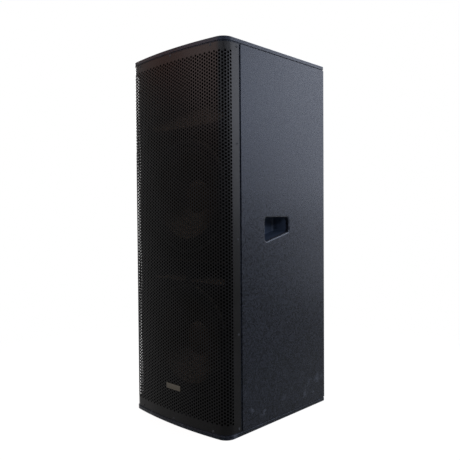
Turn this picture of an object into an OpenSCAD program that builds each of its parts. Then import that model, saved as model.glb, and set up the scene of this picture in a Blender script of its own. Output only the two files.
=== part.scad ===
// Two-way loudspeaker cabinet for live sound, with two woofers, a horn and a bowed steel grille.
// Millimetres, +Z up. The front faces -Y and the origin is the middle of the underside.

/* [Cabinet] */
// Overall width across the two side panels
cab_w = 470; // [455:1:500]
// Overall depth from the middle of the bowed front to the rear edges
cab_d = 545; // [510:1:620]
// Overall height
cab_h = 1250; // [1120:1:1380]
// Plywood thickness of the top, bottom, sides and rear
ply_t = 15; // [13:1:18]
// Plywood thickness of the front baffle
baffle_t = 18; // [15:1:21]
// How far the middle of the front stands ahead of its corners
bow = 20; // [14:1:26]
// Radius of the two front corners, seen from above
corner_r = 37; // [32:1:44]
// Width and depth of the shadow groove round the top and bottom panels
groove = 2.5; // [1.5:0.5:3.5]
// How far the rear panel is set in from the rear edges
rear_inset = 6; // [5.5:0.5:10]

/* [Grille] */
// Thickness of the grille steel
grille_t = 1.5; // [1:0.1:2]
// Flat side flange of the grille behind its rounded corner
flange_w = 34.5; // [31:0.5:38]
// Openings across the grille, an odd number so that both sides match; the real holes are finer
mesh_columns = 11; // [7:2:11]
// Share of the mesh that is open
mesh_open = 0.43; // [0.3:0.01:0.5]
// Width of the badge plate
badge_w = 70; // [50:1:90]
// Height of the badge plate
badge_h = 18; // [12:1:24]
// Height of the badge plate's middle above the floor
badge_z = 128; // [100:1:160]

/* [Woofers] */
// Outside diameter of the woofer frame
woofer_od = 386; // [376:1:390]
// Bare baffle under the lower woofer
woofer_foot = 64; // [56:1:68]
// Cone travel each way
cone_travel = 6; // [3:0.5:7]
// Radius of the woofer magnet
magnet_r = 110; // [95:1:115]

/* [Horn] */
// Height of the horn flange
horn_h = 250; // [238:1:252]
// Depth of the horn behind the baffle face
horn_len = 140; // [125:1:155]

/* [Ports] */
// Width of each port
port_w = 173; // [150:1:180]
// Height of each port
port_h = 66; // [55:1:68]
// Length of each port duct
port_len = 110; // [90:1:130]

/* [Handles] */
// Length of the handle opening
handle_w = 128; // [104:24:152]
// Height of the handle opening at its front end
handle_h = 84; // [78:1:92]
// Depth of the handle pocket behind the side panel
handle_depth = 62; // [50:1:70]

/* [Input panel] */
// Width of the input dish opening
dish_w = 156; // [140:1:180]
// Height of the input dish opening
dish_h = 84; // [76:1:100]
// Height of the dish's middle above the floor
dish_z = 400; // [350:1:430]

/* [Hidden] */
$fn = 64;
arc_fn = 720;
play = 0.15;
slip = 0.3;

// Plan of the cabinet: bowed front, two round corners, straight sides
bow_r = (cab_w * cab_w / 4 + bow * bow) / (2 * bow);
bow_y = bow_r - cab_d / 2;
corner_x = cab_w / 2 - corner_r;
corner_y = bow_y - sqrt(pow(bow_r - corner_r, 2) - pow(corner_x, 2));
rear_y = cab_d / 2;
inner_w = cab_w - 2 * ply_t;
inner_h = cab_h - 2 * ply_t;
top_z = cab_h - ply_t;

// Grille sheet and the seat that the side panels give it
grille_inset = 2;
grille_gap = 1;
seat_inset = grille_inset + grille_t;
flange_y = corner_y + flange_w;
flange_gap = 3.5;
shoulder_y = flange_y + flange_gap;
tongue_y = corner_y + 11;
baffle_y = corner_y + 21;
baffle_back_y = baffle_y + baffle_t;
rear_out_y = rear_y - rear_inset;
rear_in_y = rear_out_y - ply_t;
batten_d = 18;
batten_h = 20;
batten_x = 192;

// Openings of the grille: staggered columns of six-sided holes, laid out along the bent sheet
sheet_bow_r = bow_r - grille_inset;
sheet_corner_r = corner_r - grille_inset;
corner_lean = asin(corner_x / (bow_r - corner_r));
bow_run = sheet_bow_r * corner_lean * PI / 180;
corner_run = sheet_corner_r * (90 - corner_lean) * PI / 180;
badge_t = 1.5;
mesh_edge = 27;
mesh_depth = 12;
mesh_pitch = 2 * (bow_run + corner_run) / mesh_columns;
mesh_rows = round((inner_h - 2 * mesh_edge) * sqrt(3) / 2 / mesh_pitch);
mesh_row = (inner_h - 2 * mesh_edge) / mesh_rows;
mesh_r = sqrt(mesh_open * mesh_pitch * mesh_row / (1.5 * sqrt(3)));
mesh_corner_r = min(mesh_r, 0.4 * sheet_corner_r);

// Grille screws
grille_head_r = 4;
grille_head_h = 1.6;
grille_shank_r = 1.75;
side_screw_y = tongue_y + 12;
side_screw_edge = 26;
side_screw_len = ply_t - grille_inset - 1;
front_screw_x = 178;
front_screw_edge = ply_t + 6;
front_screw_len = 14;

// Layout up the baffle: the horn hangs from the top panel, the lower woofer stands on its foot,
// and a low cabinet takes woofers that fit between them with the ports and the mid brace
horn_head = 7;
horn_foot = 18;
port_gap = 12;
lip_over_brace = 4;
horn_w = inner_w - 12;
horn_z = top_z - horn_head - horn_h / 2;
horn_low_z = horn_z - horn_h / 2 - horn_foot;
woofer_room = horn_low_z - 2 * ply_t - woofer_foot - 2 * port_gap - port_h + lip_over_brace;
woofer_r = min(woofer_od, woofer_room / 2) / 2;
upper_z = horn_low_z - woofer_r;
lower_z = ply_t + woofer_foot + woofer_r;

// Woofer section: radii from the axis, depths from the baffle face
frame_lip = 6;
cutout_r = woofer_r - 16;
basket_r = cutout_r - 1.5;
frame_in_r = woofer_r - 25;
gasket_in_r = woofer_r - 22.5;
gasket_out_r = woofer_r - 12;
gasket_h = 6;
lip_t = 0.8;
roll_out_r = gasket_in_r - 1;
roll_in_r = roll_out_r - 20;
cone_r = roll_in_r + 3;
cone_lip_z = -frame_lip + 0.7;
neck_r = 38.4;
neck_z = 64;
cone_t = 1.2;
cup_r = 88;
window_w = 80;
ledge_z = 72;
cup_z = 90;
cup_floor = 5;
motor_z = cup_z + cup_floor;
plate_t = 10;
magnet_t = 8 + 2 * cone_travel;
pole_r = 37.4;
gap_r = 39.8;
vent_r = 16;
cap_r = 58;
cap_h = 16;
woofer_bolt_r = woofer_r - 6.5;
woofer_bolts = 8;
bolt_head_r = 4.5;
bolt_head_h = 4;
bolt_shank_r = 2.8;
bolt_grip = 14;

// Horn section
horn_wall = 4;
mouth_x = horn_w / 2 - 24;
mouth_z = horn_h / 2 - 28;
throat_r = 18;
throat_flange_r = 62;
throat_flange_t = 8;
horn_sides = 48;
horn_rings = 9;
horn_screw_x = horn_w / 2 - 9;
horn_screw_z = horn_h / 2 - 9;
horn_head_r = 4;
horn_head_h = 3;
horn_shank_r = 2.2;
horn_grip = 14;

// High-frequency motor behind the horn
hf_r = 80;
hf_plate_t = 10;
hf_magnet_t = 22;
hf_pole_r = 35.6;
hf_gap_r = 37.6;
hf_magnet_z = horn_len + hf_plate_t;
hf_top_z = hf_magnet_z + hf_magnet_t;
hf_face_z = hf_top_z + hf_plate_t;
hf_ring_t = 3;
hf_dome_r = 36.2;
hf_dome_h = 14;
hf_dome_t = 0.6;
hf_air = 1.2;
hf_cover_h = 34;
hf_bolt_r = 52;

// Ports
port_wall = 4;
port_x = 8 + port_w / 2;
port_lip = 6;
port_lip_t = 3;
port_z = lower_z + woofer_r + port_gap + port_h / 2;

// Inner braces
mid_brace_z = port_z + port_h / 2 + port_gap;
upper_brace_z = horn_z - horn_h / 2 - 23;
brace_rim = 45;

// Handles
handle_y = -4.5;
handle_r = 10;
handle_run = handle_w - 2 * handle_r;
handle_rise = handle_run * 7 / 24;
handle_top_z = cab_h / 2 + 68.5;
handle_lift = 20;
cup_wall = 3;
cup_lip = 16;
cup_screw_r = 1.75;
cup_head_r = 3.5;
cup_head_h = 2;

// Input dish and its sockets
dish_t = 2.5;
dish_lip = 14;
dish_d = 32;
dish_screw_len = 14;
socket_x = 36;
socket_side = 30;
socket_face = 3;
socket_r = 13;
socket_in_r = 11;
socket_core_r = 5;
socket_d = 22;
socket_l = 26;

// Crossover
board_w = 180;
board_d = 180;
board_t = 1.6;
coil_r = 30;
coil_h = 30;
coil_x = 50;
coil_y = 50;
capacitor_r = 11;
capacitor_l = 46;
capacitor_pitch = 26;
resistor_w = 10;
resistor_l = 48;
resistor_pitch = 16;
board_y = rear_in_y - 35 - board_d / 2;
post_h = 12;
post_r = 4;
board_z = ply_t + post_h;
part_z = board_z + board_t;

// Leads, along the side walls and through notches in the braces
lead_r = 2.5;
wall_x = inner_w / 2 - lead_r - slip;
riser_y = board_y;
terminal_y = baffle_y + ledge_z + 10;
terminal_x = cup_r + 16;
terminal_w = 14;

// Outline of the cabinet seen from above, drawn in by the given distance
module plan(inset) {
    reach = corner_x * (bow_r - inset) / (bow_r - corner_r);
    union() {
        intersection() {
            translate([0, bow_y]) circle(r = bow_r - inset, $fn = arc_fn);
            translate([-reach, -cab_d]) square([2 * reach, cab_d + corner_y]);
        }
        for (side = [-1, 1]) {
            translate([side * corner_x, corner_y]) circle(r = corner_r - inset, $fn = 96);
        }
        translate([inset - cab_w / 2, corner_y]) square([cab_w - 2 * inset, rear_y - corner_y]);
    }
}

// A box given by its two opposite corners
module block(a, b) {
    translate(a) cube(b - a);
}

// Convex outline whose corner centres are given anticlockwise, rounded by r
module round_outline(centres, r) {
    count = len(centres);
    union() {
        polygon(centres);
        for (i = [0 : count - 1]) {
            a = centres[i];
            b = centres[(i + 1) % count];
            out = [b[1] - a[1], a[0] - b[0]] * r / norm(b - a);
            polygon([a, a + out, b + out, b]);
            translate(a) circle(r = r, $fn = 48);
        }
    }
}

module round_box(w, h, r) {
    x = w / 2 - r;
    y = h / 2 - r;
    round_outline([[-x, -y], [x, -y], [x, y], [-x, y]], r);
}

// Pan-head screw: its head stands on z = 0 and its shank points down
module screw(head_r, head_h, shank_r, length) {
    difference() {
        cylinder(h = head_h, r1 = head_r, r2 = head_r * 0.72);
        for (turn = [0, 90]) {
            rotate([0, 0, turn])
                translate([-head_r * 0.45, -head_r * 0.1, head_h * 0.45])
                    cube([head_r * 0.9, head_r * 0.2, head_h]);
        }
    }
    translate([0, 0, -length + shank_r]) cylinder(h = length - shank_r, r = shank_r);
    translate([0, 0, -length]) cylinder(h = shank_r, r1 = shank_r * 0.3, r2 = shank_r);
}

// Moves a part drawn round the Z axis to the baffle: depth runs into the cabinet
module on_baffle(z) {
    translate([0, baffle_y, z]) rotate([-90, 0, 0]) children();
}

// Turns an outline drawn in (depth, height) and raised along Z to face sideways
module sideways() {
    rotate([90, 0, 90]) children();
}

// Copies a part that is drawn for the right side to the left
module both_sides() {
    children();
    mirror([1, 0, 0]) children();
}

// Places a part, drawn with its outside up, on each grille side screw
module at_side_screws() {
    step = (cab_h / 2 - side_screw_edge) / 2;
    for (k = [-2 : 2]) {
        translate([cab_w / 2 - grille_inset, side_screw_y, cab_h / 2 + k * step])
            rotate([0, 90, 0]) children();
    }
}

// The same for the screws along the top and bottom of the grille
module at_front_screws() {
    for (x = [-1, 0, 1], z = [front_screw_edge, cab_h - front_screw_edge]) {
        translate([0, bow_y, z])
            rotate([0, 0, asin(x * front_screw_x / (bow_r - grille_inset))])
                translate([0, grille_inset - bow_r, 0]) rotate([90, 0, 0]) children();
    }
}

// Handle opening in (depth, height), grown by the given distance and raised at the top
module handle_outline(grow, lift) {
    front = handle_y - handle_w / 2;
    rear = handle_y + handle_w / 2;
    low = handle_top_z - handle_h + handle_r;
    a = [front + handle_r, low];
    b = [rear - handle_r, low + handle_rise];
    c = [rear - handle_r, handle_top_z - handle_r + lift];
    d = [front + handle_r, handle_top_z - handle_r + lift];
    round_outline([a, b, c, d], handle_r + grow);
}

// Four screw places round a handle cup, drawn with the head inwards
module at_cup_screws() {
    x = cab_w / 2 - ply_t - cup_wall;
    top = handle_top_z + handle_lift + cup_wall + cup_lip / 2;
    for (end = [-1, 1]) {
        y = handle_y + end * (handle_w / 2 - 25);
        translate([x, y, top]) rotate([0, -90, 0]) children();
    }
    for (end = [-1, 1]) {
        y = handle_y + end * (handle_w / 2 + cup_wall + cup_lip / 2);
        translate([x, y, handle_top_z - 30]) rotate([0, -90, 0]) children();
    }
}

module at_woofer_bolts() {
    for (z = [lower_z, upper_z]) {
        on_baffle(z)
            for (i = [0 : woofer_bolts - 1]) {
                rotate([0, 0, (i + 0.5) * 360 / woofer_bolts]) translate([woofer_bolt_r, 0, -frame_lip])
                    rotate([180, 0, 0]) children();
            }
    }
}

module at_horn_screws() {
    on_baffle(horn_z) {
        for (x = [-1, -0.36, 0.36, 1], y = [-1, 1]) {
            translate([x * horn_screw_x, y * horn_screw_z, -frame_lip]) rotate([180, 0, 0]) children();
        }
        for (x = [-1, 1]) {
            translate([x * horn_screw_x, 0, -frame_lip]) rotate([180, 0, 0]) children();
        }
    }
}

module at_dish_screws() {
    x = dish_w / 2 + dish_lip / 2;
    z = dish_h / 2 + dish_lip / 2;
    for (p = [[-x, -z], [0, -z], [x, -z], [-x, z], [0, z], [x, z]]) {
        translate([p[0], rear_out_y + dish_t, dish_z + p[1]]) rotate([-90, 0, 0]) children();
    }
}

module at_board_posts() {
    for (x = [-1, 1], y = [-1, 1]) {
        translate([x * (board_w / 2 - 8), board_y + y * (board_d / 2 - 8), ply_t]) children();
    }
}

// Panels of the box
module top_panel() {
    color("#26272a") {
        translate([0, 0, top_z]) linear_extrude(groove) plan(groove);
        translate([0, 0, top_z + groove]) linear_extrude(ply_t - groove) plan(0);
    }
}

module bottom_panel() {
    color("#26272a") {
        linear_extrude(ply_t - groove) plan(0);
        translate([0, 0, ply_t - groove]) linear_extrude(groove) plan(groove);
    }
}

module right_side_panel() {
    inside = cab_w / 2 - ply_t;
    seat = cab_w / 2 - seat_inset;
    color("#26272a") difference() {
        translate([0, 0, ply_t]) linear_extrude(inner_h) polygon([
            [inside, tongue_y], [seat, tongue_y], [seat, shoulder_y],
            [cab_w / 2, shoulder_y], [cab_w / 2, rear_y], [inside, rear_y]
        ]);
        translate([inside - 1, 0, 0]) sideways() linear_extrude(ply_t + 2) handle_outline(0, 0);
        at_side_screws() translate([0, 0, -side_screw_len - play])
            cylinder(h = side_screw_len + 5, r = grille_shank_r + play);
        at_cup_screws() translate([0, 0, -14]) cylinder(h = 20, r = cup_screw_r + play);
    }
}

module left_side_panel() {
    mirror([1, 0, 0]) right_side_panel();
}

module rear_panel() {
    color("#26272a") difference() {
        block([-inner_w / 2, rear_in_y, ply_t], [inner_w / 2, rear_out_y, top_z]);
        translate([0, rear_in_y - 1, dish_z]) rotate([-90, 0, 0])
            linear_extrude(ply_t + 2) round_box(dish_w + 2 * play, dish_h + 2 * play, 10);
        at_dish_screws() translate([0, 0, -16]) cylinder(h = 18, r = cup_screw_r + play);
    }
}

module front_baffle() {
    color("#1f2022") difference() {
        block([-inner_w / 2, baffle_y, ply_t], [inner_w / 2, baffle_back_y, top_z]);
        for (z = [lower_z, upper_z]) {
            on_baffle(z) translate([0, 0, -1]) cylinder(h = baffle_t + 2, r = cutout_r, $fn = 128);
        }
        on_baffle(horn_z) translate([0, 0, -1]) linear_extrude(baffle_t + 2)
            round_box(2 * mouth_x + 2 * horn_wall + 3, 2 * mouth_z + 2 * horn_wall + 3, 24);
        for (side = [-1, 1]) {
            translate([side * port_x, 0, 0]) on_baffle(port_z) translate([0, 0, -1])
                linear_extrude(baffle_t + 2) round_box(port_w + 2 * play, port_h + 2 * play, 10);
        }
        at_woofer_bolts() translate([0, 0, -frame_lip - bolt_grip - play])
            cylinder(h = bolt_grip + 2, r = bolt_shank_r + play);
        at_horn_screws() translate([0, 0, -frame_lip - horn_grip - play])
            cylinder(h = horn_grip + 2, r = horn_shank_r + play);
    }
}

// Shelf with two openings that ties the four walls together
module brace(z) {
    depth = rear_in_y - baffle_back_y;
    hole_w = inner_w / 2 - 1.5 * brace_rim;
    color("#a8845a") difference() {
        block([-inner_w / 2, baffle_back_y, z], [inner_w / 2, rear_in_y, z + ply_t]);
        for (side = [-1, 1]) {
            translate([side * (hole_w + brace_rim) / 2, baffle_back_y + depth / 2, z - 1])
                linear_extrude(ply_t + 2) round_box(hole_w, depth - 2 * brace_rim, 30);
            translate([side * wall_x, riser_y, z - 1]) cylinder(h = ply_t + 2, r = lead_r + 0.6);
        }
    }
}

module mid_brace() {
    brace(mid_brace_z);
}

module upper_brace() {
    brace(upper_brace_z);
}

// Two curved strips behind the grille, under the top panel and on the bottom panel
module grille_battens() {
    color("#1f2022") difference() {
        for (z = [ply_t, top_z - batten_h]) {
            translate([0, 0, z]) linear_extrude(batten_h) intersection() {
                difference() {
                    translate([0, bow_y]) circle(r = bow_r - seat_inset, $fn = arc_fn);
                    translate([0, bow_y]) circle(r = bow_r - seat_inset - batten_d, $fn = arc_fn);
                }
                translate([-batten_x, -cab_d]) square([2 * batten_x, cab_d]);
            }
        }
        at_front_screws() translate([0, 0, -front_screw_len - play])
            cylinder(h = front_screw_len + 5, r = grille_shank_r + play);
    }
}

// Places a part, drawn at the origin with its outside at -Y, at a distance along the bent sheet
module on_sheet(run) {
    side = run < 0 ? -1 : 1;
    past = abs(run) - bow_run;
    if (past < 0) {
        translate([0, bow_y, 0]) rotate([0, 0, run / sheet_bow_r * 180 / PI])
            translate([0, -sheet_bow_r, 0]) children();
    } else {
        translate([side * corner_x, corner_y, 0])
            rotate([0, 0, side * (corner_lean + past / sheet_corner_r * 180 / PI)])
                translate([0, -sheet_corner_r, 0]) children();
    }
}

// Staggered columns of six-sided prisms that open the sheet; they are smaller where it bends
module mesh_openings() {
    for (k = [0 : mesh_columns - 1]) {
        odd = k % 2;
        run = (k - (mesh_columns - 1) / 2) * mesh_pitch;
        size = abs(run) < bow_run ? mesh_r : mesh_corner_r;
        for (n = [0 : mesh_rows - 1 - odd]) {
            on_sheet(run)
                translate([0, mesh_depth, ply_t + mesh_edge + (n + (1 + odd) / 2) * mesh_row])
                    rotate([90, 0, 0]) cylinder(h = mesh_depth + 2, r = size, $fn = 6);
        }
    }
}

// Bent sheet: bowed front, round corners and two flat side flanges, opened like a mesh
module grille() {
    low = ply_t + grille_gap;
    color("#17181a") difference() {
        translate([0, 0, low]) linear_extrude(inner_h - 2 * grille_gap) difference() {
            plan(grille_inset);
            plan(seat_inset);
            translate([-cab_w, flange_y]) square([2 * cab_w, cab_d]);
        }
        both_sides() at_side_screws() translate([0, 0, -5])
            cylinder(h = 10, r = grille_shank_r + play);
        at_front_screws() translate([0, 0, -5]) cylinder(h = 10, r = grille_shank_r + play);
        mesh_openings();
    }
}

module grille_side_screws() {
    color("#8d9096") both_sides() at_side_screws()
        screw(grille_head_r, grille_head_h, grille_shank_r, side_screw_len);
}

module grille_front_screws() {
    color("#8d9096") at_front_screws()
        screw(grille_head_r, grille_head_h, grille_shank_r, front_screw_len);
}

// Bare plate that follows the bow of the grille
module badge_plate() {
    outer_r = sheet_bow_r + play;
    color("#9a9da2") translate([0, 0, badge_z - badge_h / 2]) linear_extrude(badge_h) intersection() {
        difference() {
            translate([0, bow_y]) circle(r = outer_r + badge_t, $fn = arc_fn);
            translate([0, bow_y]) circle(r = outer_r, $fn = arc_fn);
        }
        translate([-badge_w / 2, -cab_d]) square([badge_w, cab_d]);
    }
}

// Moulded pocket behind the handle opening; its roof is higher, so fingers close over the panel
module right_handle_cup() {
    face = cab_w / 2 - ply_t;
    color("#1b1c1e") difference() {
        union() {
            translate([face - cup_wall, 0, 0]) sideways()
                linear_extrude(cup_wall) handle_outline(cup_wall + cup_lip, handle_lift);
            translate([face - handle_depth, 0, 0]) sideways()
                linear_extrude(handle_depth) handle_outline(cup_wall, handle_lift);
        }
        translate([face - handle_depth + cup_wall, 0, 0]) sideways()
            linear_extrude(handle_depth) handle_outline(0, handle_lift);
        at_cup_screws() translate([0, 0, -6]) cylinder(h = 12, r = cup_screw_r + play);
    }
}

module left_handle_cup() {
    mirror([1, 0, 0]) right_handle_cup();
}

module handle_screws() {
    color("#8d9096") both_sides() at_cup_screws()
        screw(cup_head_r, cup_head_h, cup_screw_r, 13);
}

// Rectangular duct with a flange on the baffle face
module port_duct(side) {
    color("#1b1c1e") translate([side * port_x, 0, 0]) on_baffle(port_z) difference() {
        union() {
            translate([0, 0, -port_lip_t]) linear_extrude(port_lip_t)
                round_box(port_w + 2 * port_lip, port_h + 2 * port_lip, 12);
            linear_extrude(port_len) round_box(port_w, port_h, 10);
        }
        translate([0, 0, -port_lip_t - 1]) linear_extrude(port_len + port_lip_t + 2)
            round_box(port_w - 2 * port_wall, port_h - 2 * port_wall, 8);
    }
}

module left_port_duct() {
    port_duct(-1);
}

module right_port_duct() {
    port_duct(1);
}

// Woofer pieces, drawn round the Z axis with depth upwards
module basket_form() {
    difference() {
        rotate_extrude($fn = 128) polygon([
            [woofer_r, -frame_lip], [woofer_r, 0], [basket_r, 0], [basket_r, 24],
            [cup_r + 16, ledge_z + 4], [cup_r + 16, motor_z], [gap_r + 1.2, motor_z],
            [gap_r + 1.2, cup_z], [cup_r, cup_z], [cup_r, ledge_z], [cup_r + 11, ledge_z],
            [frame_in_r, 22], [frame_in_r, -frame_lip]
        ]);
        for (i = [0 : 5]) {
            rotate([0, 0, i * 60]) translate([cup_r + 10, -window_w / 2, 30])
                cube([woofer_r, window_w, ledge_z - 36]);
        }
        for (i = [0 : woofer_bolts - 1]) {
            rotate([0, 0, (i + 0.5) * 360 / woofer_bolts]) translate([woofer_bolt_r, 0, -frame_lip - 1])
                cylinder(h = frame_lip + 2, r = bolt_shank_r + play);
        }
    }
}

module gasket_form() {
    translate([0, 0, -frame_lip - lip_t - gasket_h]) difference() {
        cylinder(h = gasket_h, r = gasket_out_r, $fn = 128);
        translate([0, 0, -1]) cylinder(h = gasket_h + 2, r = gasket_in_r, $fn = 128);
    }
}

// Cloth ring with two rolls, from the frame lip to the cone edge
module surround_form() {
    steps = 24;
    function height(r) = 4.2 * pow(sin(360 * (roll_out_r - r) / (roll_out_r - roll_in_r)), 2);
    function station(i) = roll_out_r + (roll_in_r - roll_out_r) * i / steps;
    face = -frame_lip - lip_t;
    front = [for (i = [0 : steps]) [station(i), face - height(station(i))]];
    back = [for (i = [steps : -1 : 0]) [station(i), face + lip_t - height(station(i))]];
    rotate_extrude($fn = 128) polygon(concat(
        [[gasket_out_r, face]], front, [[roll_in_r - 3, face], [roll_in_r - 3, face + lip_t]],
        back, [[gasket_out_r, face + lip_t]]
    ));
}

module cone_form() {
    rotate_extrude($fn = 128) polygon([
        [cone_r, cone_lip_z], [cone_r, cone_lip_z + cone_t], [roll_in_r - 4, cone_lip_z + cone_t],
        [neck_r + 2, neck_z + cone_t], [neck_r, neck_z + cone_t], [neck_r, neck_z - 3],
        [roll_in_r - 4, cone_lip_z]
    ]);
}

// Depth of the cone's front face at a radius
function cone_face(r) = cone_lip_z
    + (roll_in_r - 4 - r) * (neck_z - 3 - cone_lip_z) / (roll_in_r - 4 - neck_r);

module dust_cap_form() {
    ball_r = (cap_r * cap_r + cap_h * cap_h) / (2 * cap_h);
    translate([0, 0, cone_face(cap_r) - cap_h + ball_r]) rotate_extrude($fn = 128) intersection() {
        difference() {
            circle(r = ball_r, $fn = 180);
            circle(r = ball_r - 1, $fn = 180);
        }
        translate([0, -ball_r - 1]) square([cap_r, cap_h + 1]);
    }
}

module voice_coil_form() {
    winding_z = motor_z + plate_t / 2;
    rotate_extrude($fn = 128) polygon([
        [neck_r - 0.4, neck_z - 3], [neck_r, neck_z - 3], [neck_r, winding_z - 10],
        [neck_r + 0.5, winding_z - 10], [neck_r + 0.5, winding_z + 10], [neck_r - 0.4, winding_z + 10]
    ]);
}

// Corrugated disc that centres the coil
module spider_form() {
    steps = 40;
    inner = neck_r + slip;
    outer = cup_r + 10;
    from = cup_r - 2;
    to = neck_r + 6;
    function height(r) = r > from || r < to ? 0 : 1.6 * (1 - cos(1800 * (from - r) / (from - to)));
    function station(i) = outer + (inner - outer) * i / steps;
    rotate_extrude($fn = 96) polygon(concat(
        [for (i = [0 : steps]) [station(i), ledge_z - lip_t - height(station(i))]],
        [for (i = [steps : -1 : 0]) [station(i), ledge_z - height(station(i))]]
    ));
}

module front_plate_form() {
    translate([0, 0, motor_z]) difference() {
        cylinder(h = plate_t, r = magnet_r - 8, $fn = 128);
        translate([0, 0, -1]) cylinder(h = plate_t + 2, r = gap_r, $fn = 128);
    }
}

module magnet_form() {
    translate([0, 0, motor_z + plate_t]) difference() {
        cylinder(h = magnet_t, r = magnet_r, $fn = 128);
        translate([0, 0, -1]) cylinder(h = magnet_t + 2, r = gap_r + 9, $fn = 128);
    }
}

module yoke_form() {
    base = motor_z + plate_t + magnet_t;
    difference() {
        union() {
            translate([0, 0, base]) cylinder(h = plate_t, r = magnet_r - 8, $fn = 128);
            translate([0, 0, motor_z - 2]) cylinder(h = base - motor_z + 3, r = pole_r, $fn = 128);
        }
        translate([0, 0, motor_z - 3]) cylinder(h = 60, r = vent_r);
    }
}

module upper_basket() {
    color("#2b2c2f") on_baffle(upper_z) basket_form();
}

module upper_gasket() {
    color("#141416") on_baffle(upper_z) gasket_form();
}

module upper_surround() {
    color("#1b1b1d") on_baffle(upper_z) surround_form();
}

module upper_cone() {
    color("#2f2d2b") on_baffle(upper_z) cone_form();
}

module upper_dust_cap() {
    color("#3a3835") on_baffle(upper_z) dust_cap_form();
}

module upper_voice_coil() {
    color("#b87333") on_baffle(upper_z) voice_coil_form();
}

module upper_spider() {
    color("#b8923a") on_baffle(upper_z) spider_form();
}

module upper_front_plate() {
    color("#7d8085") on_baffle(upper_z) front_plate_form();
}

module upper_magnet() {
    color("#3b3d40") on_baffle(upper_z) magnet_form();
}

module upper_yoke() {
    color("#7d8085") on_baffle(upper_z) yoke_form();
}

module lower_basket() {
    color("#2b2c2f") on_baffle(lower_z) basket_form();
}

module lower_gasket() {
    color("#141416") on_baffle(lower_z) gasket_form();
}

module lower_surround() {
    color("#1b1b1d") on_baffle(lower_z) surround_form();
}

module lower_cone() {
    color("#2f2d2b") on_baffle(lower_z) cone_form();
}

module lower_dust_cap() {
    color("#3a3835") on_baffle(lower_z) dust_cap_form();
}

module lower_voice_coil() {
    color("#b87333") on_baffle(lower_z) voice_coil_form();
}

module lower_spider() {
    color("#b8923a") on_baffle(lower_z) spider_form();
}

module lower_front_plate() {
    color("#7d8085") on_baffle(lower_z) front_plate_form();
}

module lower_magnet() {
    color("#3b3d40") on_baffle(lower_z) magnet_form();
}

module lower_yoke() {
    color("#7d8085") on_baffle(lower_z) yoke_form();
}

module woofer_screws() {
    color("#5c5f64") at_woofer_bolts()
        screw(bolt_head_r, bolt_head_h, bolt_shank_r, frame_lip + bolt_grip);
}

// Terminal block on the cup of each woofer frame
module woofer_terminals() {
    color("#c9c2a8") for (z = [lower_z, upper_z]) {
        difference() {
            block([terminal_x - 1, terminal_y - 6, z - 12],
                [terminal_x + terminal_w, terminal_y + 6, z + 12]);
            translate([0, terminal_y - 7, z]) rotate([-90, 0, 0])
                cylinder(h = 14, r = terminal_x, $fn = 128);
        }
    }
}

// Horn: closed loop of rings, down the inside to the throat and back along the outside
function power(v, e) = sign(v) * pow(abs(v), e);
function ring(a, b, n, z) = [for (i = [0 : horn_sides - 1])
    let (angle = (i + 0.5) * 360 / horn_sides)
    [a * power(cos(angle), 2 / n), b * power(sin(angle), 2 / n), z]];
function flare(s, wall) = ring(
    throat_r + wall + (mouth_x - throat_r) * pow(1 - s, 1.6),
    throat_r + wall + (mouth_z - throat_r) * pow(1 - s, 1.25),
    2 + 4 * pow(1 - s, 1.5),
    s * (horn_len - throat_flange_t)
);

module horn() {
    rim = 6;
    back = horn_len - throat_flange_t;
    rings = concat(
        [ring(mouth_x + 9, mouth_z + 9, rim, -frame_lip)],
        [ring(mouth_x + 3, mouth_z + 3, rim, -frame_lip + 2.2)],
        [for (i = [0 : horn_rings]) flare(i / horn_rings, 0)],
        [ring(throat_r, throat_r, 2, horn_len)],
        [ring(throat_flange_r, throat_flange_r, 2, horn_len)],
        [ring(throat_flange_r, throat_flange_r, 2, back)],
        [for (i = [horn_rings : -1 : 1]) flare(i / horn_rings, horn_wall)],
        [ring(mouth_x + horn_wall, mouth_z + horn_wall, rim, 0)],
        [ring(horn_w / 2, horn_h / 2, 40, 0)],
        [ring(horn_w / 2, horn_h / 2, 40, -frame_lip)]
    );
    count = len(rings);
    points = [for (r = rings, p = r) p];
    faces = [for (k = [0 : count - 1], i = [0 : horn_sides - 1], half = [0, 1])
        let (
            j = (i + 1) % horn_sides,
            a = k * horn_sides,
            b = ((k + 1) % count) * horn_sides
        )
        half == 0 ? [a + i, b + i, b + j] : [a + i, b + j, a + j]];
    color("#202124") on_baffle(horn_z) difference() {
        polyhedron(points, faces);
        for (x = [-1, -0.36, 0.36, 1], y = [-1, 1]) {
            translate([x * horn_screw_x, y * horn_screw_z, -frame_lip - 1])
                cylinder(h = frame_lip + 2, r = horn_shank_r + play);
        }
        for (x = [-1, 1]) {
            translate([x * horn_screw_x, 0, -frame_lip - 1])
                cylinder(h = frame_lip + 2, r = horn_shank_r + play);
        }
        for (turn = [45 : 90 : 315]) {
            rotate([0, 0, turn]) translate([hf_bolt_r, 0, back - 1])
                cylinder(h = throat_flange_t + 2, r = 3 + play);
        }
    }
}

module horn_screws() {
    color("#5c5f64") at_horn_screws()
        screw(horn_head_r, horn_head_h, horn_shank_r, frame_lip + horn_grip);
}

// High-frequency motor, drawn round the Z axis with depth upwards
module hf_yoke() {
    color("#7d8085") on_baffle(horn_z) difference() {
        union() {
            translate([0, 0, horn_len]) cylinder(h = hf_plate_t, r = hf_r - 6, $fn = 96);
            translate([0, 0, horn_len]) cylinder(h = hf_face_z - horn_len - 1, r = hf_pole_r, $fn = 96);
        }
        translate([0, 0, horn_len - 1]) cylinder(h = hf_face_z, r = throat_r, $fn = 96);
        for (turn = [45 : 90 : 315]) {
            rotate([0, 0, turn]) translate([hf_bolt_r, 0, horn_len - 1])
                cylinder(h = hf_plate_t + 2, r = 3 + play);
        }
    }
}

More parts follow.
